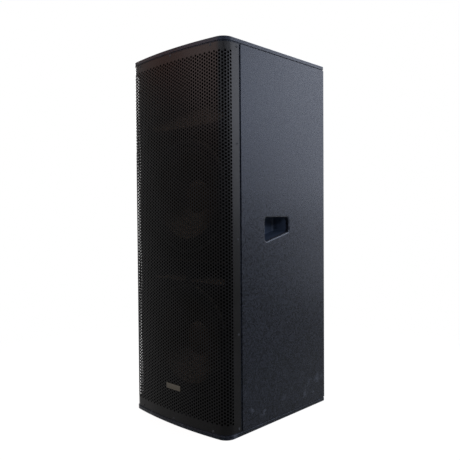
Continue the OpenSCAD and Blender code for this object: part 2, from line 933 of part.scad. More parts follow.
module hf_magnet() {
    color("#3b3d40") on_baffle(horn_z) translate([0, 0, hf_magnet_z]) difference() {
        cylinder(h = hf_magnet_t, r = hf_r, $fn = 96);
        translate([0, 0, -1]) cylinder(h = hf_magnet_t + 2, r = hf_bolt_r + 6, $fn = 96);
    }
}

module hf_top_plate() {
    color("#7d8085") on_baffle(horn_z) translate([0, 0, hf_top_z]) difference() {
        cylinder(h = hf_plate_t, r = hf_r - 4, $fn = 96);
        translate([0, 0, -1]) cylinder(h = hf_plate_t + 2, r = hf_gap_r, $fn = 96);
    }
}

hf_ball_r = (hf_dome_r * hf_dome_r + hf_dome_h * hf_dome_h) / (2 * hf_dome_h);
hf_ball_z = hf_face_z + hf_dome_h - hf_ball_r;

// Domed plug with an annular channel that feeds the throat
module hf_phase_plug() {
    color("#d8d4c8") on_baffle(horn_z) difference() {
        intersection() {
            translate([0, 0, hf_face_z - 1]) cylinder(h = 40, r = hf_pole_r, $fn = 96);
            translate([0, 0, hf_ball_z]) sphere(r = hf_ball_r - hf_dome_t - hf_air, $fn = 128);
        }
        translate([0, 0, hf_face_z - 2]) difference() {
            cylinder(h = 40, r = 15, $fn = 64);
            translate([0, 0, -1]) cylinder(h = 42, r = 11, $fn = 64);
            translate([-20, -1.5, -1]) cube([40, 3, 42]);
        }
    }
}

// Thin dome with its voice coil
module hf_diaphragm() {
    color("#b9bcc2") on_baffle(horn_z) {
        translate([0, 0, hf_ball_z]) difference() {
            intersection() {
                sphere(r = hf_ball_r, $fn = 128);
                translate([0, 0, hf_face_z - hf_ball_z - 0.3])
                    cylinder(h = 40, r = hf_dome_r + 1, $fn = 96);
            }
            sphere(r = hf_ball_r - hf_dome_t, $fn = 128);
        }
        translate([0, 0, hf_top_z + 2]) difference() {
            cylinder(h = hf_face_z - hf_top_z, r = hf_pole_r + 1, $fn = 96);
            translate([0, 0, -1]) cylinder(h = hf_plate_t + 2, r = hf_pole_r + 0.4, $fn = 96);
        }
    }
}

// Flexible ring between the dome and its seat on the top plate
module hf_suspension() {
    color("#c89b4a") on_baffle(horn_z) difference() {
        translate([0, 0, hf_face_z]) cylinder(h = hf_ring_t, r = hf_r - 8, $fn = 96);
        translate([0, 0, hf_face_z + 1]) cylinder(h = hf_ring_t, r = hf_gap_r + 6, $fn = 96);
        translate([0, 0, hf_face_z - 1]) cylinder(h = hf_ring_t + 2, r = hf_pole_r + 1 + slip, $fn = 96);
    }
}

module hf_rear_cover() {
    color("#242528") on_baffle(horn_z) translate([0, 0, hf_face_z]) difference() {
        cylinder(h = hf_cover_h, r = hf_r - 4, $fn = 96);
        translate([0, 0, -1]) cylinder(h = hf_ring_t + 1, r = hf_r - 8, $fn = 96);
        translate([0, 0, -1]) cylinder(h = hf_cover_h - 3, r = hf_r - 12, $fn = 96);
    }
}

// Bolts from the yoke through the horn's throat flange
module hf_bolts() {
    grip = throat_flange_t + hf_plate_t;
    color("#8d9096") on_baffle(horn_z) for (turn = [45 : 90 : 315]) {
        rotate([0, 0, turn]) translate([hf_bolt_r, 0, horn_len - throat_flange_t]) {
            cylinder(h = grip + 8, r = 3);
            translate([0, 0, -4]) cylinder(h = 4, r = 5.5, $fn = 6);
            translate([0, 0, grip]) cylinder(h = 5, r = 5.2, $fn = 6);
        }
    }
}

// Crossover on the bottom panel behind the lower woofer
module crossover_board() {
    color("#2f5d3a") difference() {
        translate([-board_w / 2, board_y - board_d / 2, board_z]) cube([board_w, board_d, board_t]);
        at_board_posts() cylinder(h = post_h + 10, r = 1.5 + play);
    }
}

module crossover_coils() {
    color("#b87333") for (p = [[-1, 1, 1], [0.9, 0.9, 1.2], [-1.1, -0.7, 0.8]]) {
        translate([p[0] * coil_x, board_y + p[1] * coil_y, part_z]) difference() {
            cylinder(h = coil_h * p[2], r = coil_r * p[2]);
            translate([0, 0, -1]) cylinder(h = coil_h * p[2] + 2, r = coil_r * p[2] * 0.45);
        }
    }
}

module crossover_capacitors() {
    front_y = board_y - board_d / 2 + 18;
    color("#c8a13a") for (i = [0 : 2]) {
        translate([8, front_y + i * capacitor_pitch, part_z + capacitor_r]) rotate([0, 90, 0])
            cylinder(h = capacitor_l, r = capacitor_r);
    }
}

module crossover_resistors() {
    front_y = board_y - board_d / 2 + 12;
    color("#e4e0d6") for (i = [0, 1]) {
        translate([-22 + i * resistor_pitch, front_y, part_z]) cube([resistor_w, resistor_l, resistor_w]);
    }
}

module crossover_posts() {
    color("#d9d9d4") at_board_posts() {
        cylinder(h = post_h, r = post_r);
        cylinder(h = post_h + board_t + 2, r = 1.5);
        translate([0, 0, post_h + board_t]) cylinder(h = 2.4, r = 3.2, $fn = 6);
    }
}

// Formed dish in the rear panel, with its flange on the panel
module input_dish() {
    floor_y = rear_out_y + dish_t - dish_d;
    color("#202124") difference() {
        union() {
            translate([0, rear_out_y, dish_z]) rotate([-90, 0, 0]) linear_extrude(dish_t)
                round_box(dish_w + 2 * dish_lip, dish_h + 2 * dish_lip, 8);
            translate([0, floor_y, dish_z]) rotate([-90, 0, 0]) linear_extrude(dish_d)
                round_box(dish_w, dish_h, 10);
        }
        translate([0, floor_y + dish_t, dish_z]) rotate([-90, 0, 0]) linear_extrude(dish_d)
            round_box(dish_w - 2 * dish_t, dish_h - 2 * dish_t, 8);
        for (x = [-1, 1]) {
            translate([x * socket_x, floor_y - 1, dish_z]) rotate([-90, 0, 0])
                cylinder(h = dish_t + 2, r = socket_r + play);
        }
        at_dish_screws() translate([0, 0, -dish_t - 1]) cylinder(h = dish_t + 2, r = cup_screw_r + play);
    }
}

// Two round locking sockets: a ring-shaped space round a core takes the plug
module speaker_sockets() {
    face_y = rear_out_y + 2 * dish_t - dish_d;
    color("#2c3f6b") for (x = [-1, 1]) {
        translate([x * socket_x, face_y, dish_z]) rotate([-90, 0, 0]) difference() {
            union() {
                linear_extrude(socket_face) round_box(socket_side, socket_side, 4);
                translate([0, 0, -socket_l]) cylinder(h = socket_l + 1, r = socket_r);
            }
            translate([0, 0, socket_face - socket_d]) difference() {
                cylinder(h = socket_d + 1, r = socket_in_r);
                translate([0, 0, -1]) cylinder(h = socket_d, r = socket_core_r);
            }
            for (turn = [90, 210, 330]) {
                rotate([0, 0, turn]) translate([socket_in_r - 0.5, -1.5, socket_face - 12])
                    cube([1.7, 3, 14]);
            }
        }
    }
}

module input_screws() {
    color("#8d9096") at_dish_screws() screw(cup_head_r, cup_head_h, cup_screw_r, dish_screw_len);
}

// Insulated leads, held along the walls from the sockets to the board and on to each driver
function unit(v) = v / norm(v);
function softened(route, cut) = [for (i = [0 : len(route) - 1])
    each (i == 0 || i == len(route) - 1) ? [route[i]] : [
        route[i] + unit(route[i - 1] - route[i]) * cut,
        route[i] + unit(route[i + 1] - route[i]) * cut
    ]];
function headings(p) = [for (i = [0 : len(p) - 1])
    unit((i > 0 ? unit(p[i] - p[i - 1]) : [0, 0, 0])
        + (i < len(p) - 1 ? unit(p[i + 1] - p[i]) : [0, 0, 0]))];
function carried(t, i, u) = let (v = unit(u - (u * t[i]) * t[i]))
    i == len(t) - 1 ? [v] : concat([v], carried(t, i + 1, v));

module lead(route) {
    sides = 8;
    p = softened(route, 8);
    t = headings(p);
    u = carried(t, 0, unit([0.31, 0.47, 0.83]));
    points = [for (i = [0 : len(p) - 1], k = [0 : sides - 1])
        p[i] + lead_r * (cos(k * 45) * u[i] + sin(k * 45) * cross(t[i], u[i]))];
    last = (len(p) - 1) * sides;
    walls = [for (i = [0 : len(p) - 2], k = [0 : sides - 1])
        [i * sides + k, (i + 1) * sides + k,
            (i + 1) * sides + (k + 1) % sides, i * sides + (k + 1) % sides]];
    cap_a = [[for (k = [0 : sides - 1]) k]];
    cap_b = [[for (k = [sides - 1 : -1 : 0]) last + k]];
    polyhedron(points, concat(cap_a, walls, cap_b));
}

module internal_leads() {
    socket_y = rear_out_y + 2 * dish_t - dish_d - socket_l;
    drop_y = socket_y - 22;
    edge_x = board_w / 2;
    front_y = board_y - board_d / 2 + 20;
    edge_z = board_z + board_t / 2;
    tip_x = terminal_x + terminal_w;
    hf_x = hf_r - 4;
    hf_y = baffle_y + hf_face_z + hf_cover_h / 2;
    color("#a33a32") {
        lead([
            [socket_x + 4, socket_y, dish_z], [socket_x + 4, drop_y, dish_z],
            [wall_x, drop_y, dish_z], [wall_x, drop_y, edge_z], [edge_x, drop_y, edge_z]
        ]);
        lead([
            [-socket_x, socket_y, dish_z], [-socket_x, socket_y - 16, dish_z],
            [socket_x - 6, socket_y - 16, dish_z], [socket_x - 6, socket_y, dish_z]
        ]);
        lead([
            [edge_x, front_y, edge_z], [wall_x, front_y, edge_z], [wall_x, front_y, lower_z],
            [wall_x, terminal_y, lower_z], [tip_x, terminal_y, lower_z]
        ]);
        lead([
            [edge_x, riser_y, edge_z], [wall_x, riser_y, edge_z], [wall_x, riser_y, upper_z],
            [wall_x, terminal_y, upper_z], [tip_x, terminal_y, upper_z]
        ]);
        lead([
            [-edge_x, riser_y, edge_z], [-wall_x, riser_y, edge_z], [-wall_x, riser_y, horn_z],
            [-wall_x, hf_y, horn_z], [-hf_x, hf_y, horn_z]
        ]);
    }
}

top_panel();
bottom_panel();
left_side_panel();
right_side_panel();
rear_panel();
front_baffle();
mid_brace();
upper_brace();
grille_battens();
grille();
grille_side_screws();
grille_front_screws();
badge_plate();
left_handle_cup();
right_handle_cup();
handle_screws();
left_port_duct();
right_port_duct();
upper_basket();
upper_gasket();
upper_surround();
upper_cone();
upper_dust_cap();
upper_voice_coil();
upper_spider();
upper_front_plate();
upper_magnet();
upper_yoke();
lower_basket();
lower_gasket();
lower_surround();
lower_cone();
lower_dust_cap();
lower_voice_coil();
lower_spider();
lower_front_plate();
lower_magnet();
lower_yoke();
woofer_screws();
woofer_terminals();
horn();
horn_screws();
hf_yoke();
hf_magnet();
hf_top_plate();
hf_phase_plug();
hf_diaphragm();
hf_suspension();
hf_rear_cover();
hf_bolts();
crossover_board();
crossover_coils();
crossover_capacitors();
crossover_resistors();
crossover_posts();
input_dish();
speaker_sockets();
input_screws();
internal_leads();
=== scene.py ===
# %% [markdown]
# # A live-sound speaker cabinet
# The solids arrive as a fixed frame in metres: +Z is up, the bowed grille faces -Y and the
# origin is the middle of the underside. This lesson dresses that frame: rounded panels under
# splatter paint, a grille with every hole cut, and the drivers that show through it.

# %% Load the frame
import bpy
import bmesh
import math
from mathutils import Matrix, Vector


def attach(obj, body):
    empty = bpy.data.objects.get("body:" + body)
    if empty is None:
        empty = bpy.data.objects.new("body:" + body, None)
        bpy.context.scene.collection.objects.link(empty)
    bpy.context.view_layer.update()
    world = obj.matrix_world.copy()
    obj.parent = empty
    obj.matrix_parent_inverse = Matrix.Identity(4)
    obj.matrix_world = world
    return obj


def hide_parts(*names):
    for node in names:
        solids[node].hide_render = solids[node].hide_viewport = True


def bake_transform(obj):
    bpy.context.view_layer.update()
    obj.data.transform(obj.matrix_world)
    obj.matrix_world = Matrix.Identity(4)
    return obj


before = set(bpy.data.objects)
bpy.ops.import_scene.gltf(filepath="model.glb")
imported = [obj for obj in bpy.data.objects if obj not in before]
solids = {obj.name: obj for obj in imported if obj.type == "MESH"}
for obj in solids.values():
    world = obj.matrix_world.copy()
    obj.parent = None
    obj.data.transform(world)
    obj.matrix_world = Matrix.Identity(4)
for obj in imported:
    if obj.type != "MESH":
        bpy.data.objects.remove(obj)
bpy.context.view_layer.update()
scene = bpy.context.scene
scene.view_settings.view_transform = "Standard"

# %% [markdown]
# ## The camera
# The picture was taken from the front right, a little above half height. Solving the box's
# corners for a pinhole camera gives one place, one heading and one lens, so nothing here is set
# by eye. The frame is square: 549.5 pixels of focal length in 460 is 43.0 mm on a 36 mm film.

# %% Camera
yaw, pitch, roll = (math.radians(a) for a in (43.81, 1.508, -0.427))
ahead = Vector((-math.sin(yaw) * math.cos(pitch), math.cos(yaw) * math.cos(pitch), -math.sin(pitch)))
level = Vector((math.cos(yaw), math.sin(yaw), 0))
upright = level.cross(ahead)
across = math.cos(roll) * level + math.sin(roll) * upright
up = math.cos(roll) * upright - math.sin(roll) * level
camera = bpy.data.objects.new("camera", bpy.data.cameras.new("camera"))
focal_px, frame_px, film_mm = 549.5, 460, 36
camera.data.sensor_width = film_mm
camera.data.lens = focal_px / frame_px * film_mm
camera.data.clip_end = 100
camera.matrix_world = Matrix((across, up, -ahead)).transposed().to_4x4()
camera.location = (1.405433, -1.455787, 0.700267)
scene.collection.objects.link(camera)
scene.camera = camera
print("camera lens:", round(camera.data.lens, 2), "mm")

# %% [markdown]
# ## Helpers for finishes
# A finish is a short chain of shader nodes. One function adds a node, sets the values it is given
# and links the sockets it is given, so each chain below reads from top to bottom. A node given
# where a socket is wanted means that node's first output. Colours are written as the sRGB hex that
# an eye would pick, and become linear light in one place.

# %% Helpers for finishes
def linear(code):
    parts = [int(code[i:i + 2], 16) / 255 for i in (1, 3, 5)]
    return [p / 12.92 if p <= 0.04045 else ((p + 0.055) / 1.055) ** 2.4 for p in parts] + [1]


def add(tree, kind, inputs, stops=(), **settings):
    made = tree.nodes.new(kind)
    for name, value in settings.items():
        setattr(made, name, value)
    for i, (place, code) in enumerate(stops):
        made.color_ramp.elements[i].position = place
        made.color_ramp.elements[i].color = linear(code)
    for name, value in inputs.items():
        if isinstance(value, bpy.types.Node):
            value = value.outputs[0]
        if isinstance(value, bpy.types.NodeSocket):
            tree.links.new(value, made.inputs[name])
        else:
            made.inputs[name].default_value = value
    return made


def finish(name):
    made = bpy.data.materials.new(name)
    made.use_nodes = True
    made.node_tree.nodes.clear()
    return made, made.node_tree, add(made.node_tree, "ShaderNodeTexCoord", {}).outputs["Object"]


def per_mm(size):
    return 1000 / size


print("a 2 mm pattern has a scale of", per_mm(2), "in a frame of metres")

# %% [markdown]
# ## Splatter paint on plywood
# Touring cabinets are sprayed with a thick water-based paint, and a last coat is spattered on for
# grip. The film dries in drops 3 to 6 mm wide with fine grit between them. The eye sees a matt
# black that goes grey where it mirrors the sky, with pale and dark specks where drops lie. Cells
# give each drop its own tone and gloss, and noise gives the grit that tilts the surface. Near the
# floor a cabinet is kicked and dragged, so a second noise leaves pale scuffs on the lowest 20 cm.
# Dust lies on what faces up, and there the paint is greyer and duller.

# %% Splatter paint
paint, tree, place = finish("splatter_paint_on_plywood")
drops = add(tree, "ShaderNodeTexVoronoi", {"Vector": place, "Scale": per_mm(4.5)}).outputs["Color"]
grit = add(tree, "ShaderNodeTexNoise", {"Vector": place, "Scale": per_mm(3), "Detail": 3,
                                        "Roughness": 0.6})
bump = add(tree, "ShaderNodeBump", {"Strength": 0.5, "Distance": 0.0008, "Height": grit})
gloss = add(tree, "ShaderNodeMapRange", {"Value": drops, "From Min": 0.2, "From Max": 0.8,
                                         "To Min": 0.24, "To Max": 0.36})
height = add(tree, "ShaderNodeSeparateXYZ", {"Vector": place}).outputs["Z"]
low = add(tree, "ShaderNodeMapRange", {"Value": height, "From Max": 0.2, "To Min": 0.8, "To Max": 0})
patches = add(tree, "ShaderNodeTexNoise", {"Vector": place, "Scale": per_mm(60), "Detail": 6,
                                           "Roughness": 0.7})
scuffs = add(tree, "ShaderNodeMapRange", {"Value": patches, "From Min": 0.55, "From Max": 0.68,
                                          "To Max": low})
clean = add(tree, "ShaderNodeValToRGB", {"Fac": drops}, stops=((0.22, "#040507"), (0.85, "#111318")))
worn = add(tree, "ShaderNodeMixRGB", {"Fac": scuffs, "Color1": clean, "Color2": linear("#33363c")})
facing = add(tree, "ShaderNodeSeparateXYZ", {"Vector": place.node.outputs["Normal"]}).outputs["Z"]
dusty = add(tree, "ShaderNodeMapRange", {"Value": facing, "From Min": 0.8, "From Max": 1})
dust = add(tree, "ShaderNodeMath", {0: dusty, 1: patches}, operation="MULTIPLY")
tone = add(tree, "ShaderNodeMixRGB", {"Fac": dust, "Color1": worn, "Color2": linear("#24252a")})
dull = add(tree, "ShaderNodeMath", {0: dusty, 1: 0.3, 2: gloss}, operation="MULTIPLY_ADD")
# Painted reflection: the blue specular tint colours the paint's mirror image of the white world like a
# blue sky.
skin = add(tree, "ShaderNodeBsdfPrincipled", {"Base Color": tone, "Roughness": dull, "Normal": bump,
                                              "Specular IOR Level": 0.07,
                                              "Specular Tint": linear("#c6d5ef")})
add(tree, "ShaderNodeOutputMaterial", {"Surface": skin})
print("made", paint.name)

# %% [markdown]
# ## Paint rubbed by hands and floors, with a painted highlight
# On rounded edges the spatter wears down first. What is left is a smoother, shinier black with
# greyer patches where the primer comes near, a centimetre or two long. The patches are wear and
# also a painted highlight: they stand in for the bright line along a rounded edge that mirrors the sky.

# %% Rubbed paint
rubbed_paint_highlit, tree, place = finish("paint_rubbed_smooth_painted_highlight")
scuff = add(tree, "ShaderNodeTexNoise", {"Vector": place, "Scale": per_mm(14), "Detail": 5,
                                         "Roughness": 0.7})
gloss = add(tree, "ShaderNodeMapRange", {"Value": scuff, "From Min": 0.35, "From Max": 0.65,
                                         "To Min": 0.22, "To Max": 0.4})
# Wear and painted highlight: the greyer patches also stand in for the sky's bright line along the edge.
tone = add(tree, "ShaderNodeValToRGB", {"Fac": scuff}, stops=((0.45, "#07080b"), (0.75, "#2b2e34")))
# Painted reflection: the blue specular tint colours the edge's mirror image of the white world like a
# blue sky.
skin = add(tree, "ShaderNodeBsdfPrincipled", {"Base Color": tone, "Roughness": gloss,
                                              "Specular IOR Level": 0.2,
                                              "Specular Tint": linear("#ccd9ef")})
add(tree, "ShaderNodeOutputMaterial", {"Surface": skin})
print("made", rubbed_paint_highlit.name)

# %% [markdown]
# ## Powder-coated steel
# The grille and the rear dish are mild steel under a baked matt black powder. The powder flows
# out while it is baked, so it is smoother than the panels, with a faint orange peel. That peel is
# about half a millimetre across; it is drawn at 1.5 mm so that a render can show it.

# %% Powder coat
coat, tree, place = finish("powder_coated_steel")
peel = add(tree, "ShaderNodeTexNoise", {"Vector": place, "Scale": per_mm(1.5), "Detail": 2})
bump = add(tree, "ShaderNodeBump", {"Strength": 0.15, "Distance": 0.0004, "Height": peel})
dust = add(tree, "ShaderNodeTexNoise", {"Vector": place, "Scale": per_mm(120), "Detail": 4})
tone = add(tree, "ShaderNodeValToRGB", {"Fac": dust}, stops=((0.35, "#020202"), (0.75, "#070708")))
skin = add(tree, "ShaderNodeBsdfPrincipled", {"Base Color": tone, "Roughness": 0.32,
                                              "Specular IOR Level": 0.06, "Normal": bump})
add(tree, "ShaderNodeOutputMaterial", {"Surface": skin})
print("made", coat.name)

# %% [markdown]
# ## Metals
# Zinc-plated screws are a cool grey with a slightly cloudy passivation. Motor steel is a plain,
# faintly oiled grey. The grille's screws are phosphated: a dry film of dark grey crystals hides the
# metal's shine, so they read as dark dots on a bright flange and as pale dots on a dark one. All
# three are one chain: a cloudy noise that moves the tone and the gloss a little.

# %% Plated, plain and phosphated steel
steels = []
for name, dark, light, size, rough, metal in (
        ("zinc_plated_steel", "#7f838a", "#a9adb3", 4, 0.4, 1.0),
        ("plain_machined_steel", "#73767b", "#94979c", 6, 0.45, 1.0),
        ("phosphated_steel", "#1e1f21", "#2a2b2d", 5, 0.7, 0.0)):
    made, tree, place = finish(name)
    cloud = add(tree, "ShaderNodeTexNoise", {"Vector": place, "Scale": per_mm(size), "Detail": 3})
    haze = add(tree, "ShaderNodeMapRange", {"Value": cloud, "To Min": rough - 0.1,
                                            "To Max": rough + 0.1})
    tone = add(tree, "ShaderNodeValToRGB", {"Fac": cloud}, stops=((0.3, dark), (0.7, light)))
    skin = add(tree, "ShaderNodeBsdfPrincipled", {"Base Color": tone, "Metallic": metal,
                                                  "Roughness": haze,
                                                  "Specular IOR Level": 0.5 if metal else 0.05})
    add(tree, "ShaderNodeOutputMaterial", {"Surface": skin})
    steels.append(made)
zinc, motor_steel, dark_screw = steels
print("made", [made.name for made in steels])

# %% [markdown]
# ## Brushed aluminium
# The badge is rolled aluminium, brushed along its length, so its highlight is drawn out in fine
# lines. Real brush lines are 0.1 mm apart and are drawn at 0.5 mm: a noise stretched 50 times
# along the plate. Its tone is far darker than bare aluminium: the shade over the front is painted into
# it.

# %% Brushed aluminium
badge_metal, tree, place = finish("brushed_aluminium_painted_shade")
drawn = add(tree, "ShaderNodeMapping", {"Vector": place, "Scale": (0.02, 0.02, 1)})
brush = add(tree, "ShaderNodeTexNoise", {"Vector": drawn, "Scale": per_mm(0.5), "Detail": 2})
bump = add(tree, "ShaderNodeBump", {"Strength": 0.1, "Distance": 0.0001, "Height": brush})
# Painted shade: these tones are much darker than aluminium, for the shade the front lies in.
tone = add(tree, "ShaderNodeValToRGB", {"Fac": brush}, stops=((0.3, "#35322d"), (0.7, "#46423b")))
skin = add(tree, "ShaderNodeBsdfPrincipled", {"Base Color": tone, "Metallic": 1.0, "Roughness": 0.38,
                                              "Normal": bump})
add(tree, "ShaderNodeOutputMaterial", {"Surface": skin})
print("made", badge_metal.name)

# %% [markdown]
# ## Moulded plastics
# The handle cups are injection-moulded ABS in a bluish black. The mould is spark eroded, which
# leaves a fine even grain about a millimetre across and a low sheen. The sockets are a glossier
# glass-filled nylon, whose fibres show as a faint cloud, and posts and terminals are natural nylon,
# the colour of candle wax.

# %% Moulded plastics
plastics = []
for name, dark, light, size, rough, level, grain_depth in (
        ("grained_blue_black_abs", "#1a202a", "#262e3b", 1.2, 0.5, 0.1, 0.25),
        ("glass_filled_nylon", "#151b2b", "#1f2840", 2, 0.36, 0.5, 0.05),
        ("natural_nylon", "#c9c5b8", "#dedacd", 5, 0.42, 0.5, 0.05)):
    made, tree, place = finish(name)
    grain = add(tree, "ShaderNodeTexNoise", {"Vector": place, "Scale": per_mm(size), "Detail": 2})
    bump = add(tree, "ShaderNodeBump", {"Strength": grain_depth, "Distance": 0.0004, "Height": grain})
    tone = add(tree, "ShaderNodeValToRGB", {"Fac": grain}, stops=((0.3, dark), (0.7, light)))
    skin = add(tree, "ShaderNodeBsdfPrincipled", {"Base Color": tone, "Roughness": rough,
                                                  "Specular IOR Level": level, "Normal": bump})
    add(tree, "ShaderNodeOutputMaterial", {"Surface": skin})
    plastics.append(made)
cup_plastic, socket_plastic, white_nylon = plastics
print("made", [made.name for made in plastics])

# %% [markdown]
# ## Finishes behind the grille
# What lies behind a grille is made dead black, so that the grille alone is seen: emulsion on the
# baffle, wrinkle enamel on the cast frames, carbon black in the plastic of horn and ports. A cone is
# felted paper, wood fibre settled on a screen and pressed, so it is matt, brown black and cloudy at
# a few millimetres; the cap is pressed harder and is a little paler. All that faces up is painted
# paler, as light falling from above would leave it, with some dust in it: painted top light. That is
# what shows through the holes: the lower lip of the horn, the lower half of each cone, the crown of
# each cap. The surface's own normal tells which way it faces.

# %% Finishes behind the grille
behind = []
for name, dark, light, size, rough, level, depth_mm, curl, painted_top_light in (
        ("grained_black_abs", "#020203", "#060607", 1.2, 0.6, 0.012, 0.4, 0, 0.4),
        ("flat_black_emulsion", "#020202", "#050505", 3, 0.8, 0.008, 0.4, 0, 0.5),
        ("wrinkle_black_enamel", "#070707", "#0e0e0f", 2.5, 0.5, 0.03, 0.4, 1.5, 0.5),
        ("felted_paper", "#080605", "#110c09", 5, 0.8, 0.012, 0.6, 0, 0.6),
        ("pressed_paper_cap", "#0f0b08", "#1d160f", 4, 0.7, 0.015, 0.5, 0, 0.65)):
    made, tree, place = finish(name)
    grain = add(tree, "ShaderNodeTexNoise", {"Vector": place, "Scale": per_mm(size), "Detail": 5,
                                             "Roughness": 0.6, "Distortion": curl})
    bump = add(tree, "ShaderNodeBump", {"Strength": 0.35, "Distance": depth_mm / 1000, "Height": grain})
    clean = add(tree, "ShaderNodeValToRGB", {"Fac": grain}, stops=((0.3, dark), (0.72, light)))
    facing = add(tree, "ShaderNodeSeparateXYZ", {"Vector": place.node.outputs["Normal"]}).outputs["Z"]
    # Painted top light, partly dust: the more a surface faces up, the more it is mixed toward a pale
    # tone.
    dust = add(tree, "ShaderNodeMapRange", {"Value": facing, "From Min": 0.25, "From Max": 0.9,
                                            "To Max": painted_top_light})
    tone = add(tree, "ShaderNodeMixRGB", {"Fac": dust, "Color1": clean, "Color2": linear("#5a5248")})
    skin = add(tree, "ShaderNodeBsdfPrincipled", {"Base Color": tone, "Roughness": rough,
                                                  "Specular IOR Level": level, "Normal": bump})
    add(tree, "ShaderNodeOutputMaterial", {"Surface": skin})
    behind.append(made)
plastic, baffle_paint, frame_paint, paper, cap_paper = behind
print("made", [made.name for made in behind])

# %% [markdown]
# ## Cloth and foam
# The surround is cotton cloth soaked in a damping resin, with a thread about every 0.6 mm, drawn
# at 1.2 mm. Two waves, one across and one up, multiply to a weave; a wave of scale 1 is about a
# third of a metre long, hence the factor of pi over ten. The gasket is foam with open cells.

# %% Cloth and foam
cloth, tree, place = finish("doped_cotton_cloth")
threads = per_mm(1.2) * math.pi / 10
warp, weft = (add(tree, "ShaderNodeTexWave", {"Vector": place, "Scale": threads}, bands_direction=way)
              for way in ("X", "Z"))
weave = add(tree, "ShaderNodeMath", {0: warp.outputs["Fac"], 1: weft.outputs["Fac"]},
            operation="MULTIPLY")
bump = add(tree, "ShaderNodeBump", {"Strength": 0.4, "Distance": 0.0004, "Height": weave})
tone = add(tree, "ShaderNodeValToRGB", {"Fac": weave}, stops=((0.1, "#060606"), (0.9, "#0d0c0d")))
skin = add(tree, "ShaderNodeBsdfPrincipled", {"Base Color": tone, "Roughness": 0.55,
                                              "Specular IOR Level": 0.03, "Normal": bump})
add(tree, "ShaderNodeOutputMaterial", {"Surface": skin})

foam, tree, place = finish("open_cell_foam")
cells = add(tree, "ShaderNodeTexVoronoi", {"Vector": place, "Scale": per_mm(1.5)}).outputs["Distance"]
bump = add(tree, "ShaderNodeBump", {"Strength": 0.7, "Distance": 0.0008, "Height": cells})
tone = add(tree, "ShaderNodeValToRGB", {"Fac": cells}, stops=((0.1, "#0a0a0b"), (0.6, "#040405")))
skin = add(tree, "ShaderNodeBsdfPrincipled", {"Base Color": tone, "Roughness": 0.9,
                                              "Specular IOR Level": 0.02, "Normal": bump})
add(tree, "ShaderNodeOutputMaterial", {"Surface": skin})
print("made", cloth.name, foam.name)

# %% [markdown]
# ## Materials inside the box
# Nothing inside is seen with the panels on, but a part is also used opened up or in section. Bare
# birch ply shows long grain, ferrite is a dull dark ceramic, coils are enamelled copper, and the
# small parts of the crossover are laminate, film foil and cement. Each takes a noise of its own
# grain size; the ply's is stretched along the board.

# %% Materials inside the box
inside = {}
for name, dark, light, metal, rough, size, stretch in (
        ("bare_birch_ply", "#9c7a4e", "#c7a678", 0.0, 0.62, 6, 16),
        ("sintered_ferrite", "#232427", "#36383c", 0.0, 0.6, 3, 1),
        ("enamelled_copper", "#8f4a26", "#b8683a", 1.0, 0.35, 1.5, 1),
        ("resin_spider_cloth", "#8a6a2c", "#b08a40", 0.0, 0.75, 1.5, 1),
        ("pressed_titanium", "#8d9097", "#b3b6bc", 1.0, 0.32, 8, 1),
        ("polyimide_film", "#8a5f22", "#b8863a", 0.0, 0.3, 8, 1),
        ("moulded_phenolic", "#a9a493", "#cfcaba", 0.0, 0.5, 5, 1),
        ("green_laminate", "#214a2c", "#2f6540", 0.0, 0.4, 4, 1),
        ("metallised_film", "#a87f26", "#cda33f", 0.0, 0.35, 9, 1),
        ("cement_body", "#cbc6ba", "#e6e1d6", 0.0, 0.85, 2, 1),
        ("pvc_jacket", "#141416", "#242427", 0.0, 0.45, 6, 1)):
    inside[name], tree, place = finish(name)
    drawn = add(tree, "ShaderNodeMapping", {"Vector": place, "Scale": (1, 1 / stretch, 1)})
    cloud = add(tree, "ShaderNodeTexNoise", {"Vector": drawn, "Scale": per_mm(size), "Detail": 4})
    bump = add(tree, "ShaderNodeBump", {"Strength": 0.15, "Distance": 0.0003, "Height": cloud})
    haze = add(tree, "ShaderNodeMapRange", {"Value": cloud, "To Min": rough - 0.06,
                                            "To Max": rough + 0.06})
    tone = add(tree, "ShaderNodeValToRGB", {"Fac": cloud}, stops=((0.3, dark), (0.7, light)))
    skin = add(tree, "ShaderNodeBsdfPrincipled", {"Base Color": tone, "Metallic": metal,
                                                  "Roughness": haze, "Normal": bump})
    add(tree, "ShaderNodeOutputMaterial", {"Surface": skin})
print("made", len(inside), "inner finishes")

# %% [markdown]
# ## Helpers for shapes
# Almost every piece here is a row of outlines joined by strips: a panel is its plan at several
# heights, a pocket is its opening at several depths, and a turned part is its section at several
# angles. One helper joins rings into faces, and one turns points in millimetres into a piece that
# rides on its body and stands for its solid. Edges over 35 degrees stay crisp.

# %% Helpers for shapes
def strips(rings, closed=False):
    points = [p for ring in rings for p in ring]
    n = len(rings[0])
    faces = []
    for k in range(len(rings) if closed else len(rings) - 1):
        a, b = k * n, (k + 1) % len(rings) * n
        faces += [(a + i, a + (i + 1) % n, b + (i + 1) % n, b + i) for i in range(n)]
    return points, faces


def capped(rings):
    points, faces = strips(rings)
    n = len(rings[0])
    return points, faces + [tuple(range(n))[::-1], tuple(range(len(points) - n, len(points)))]


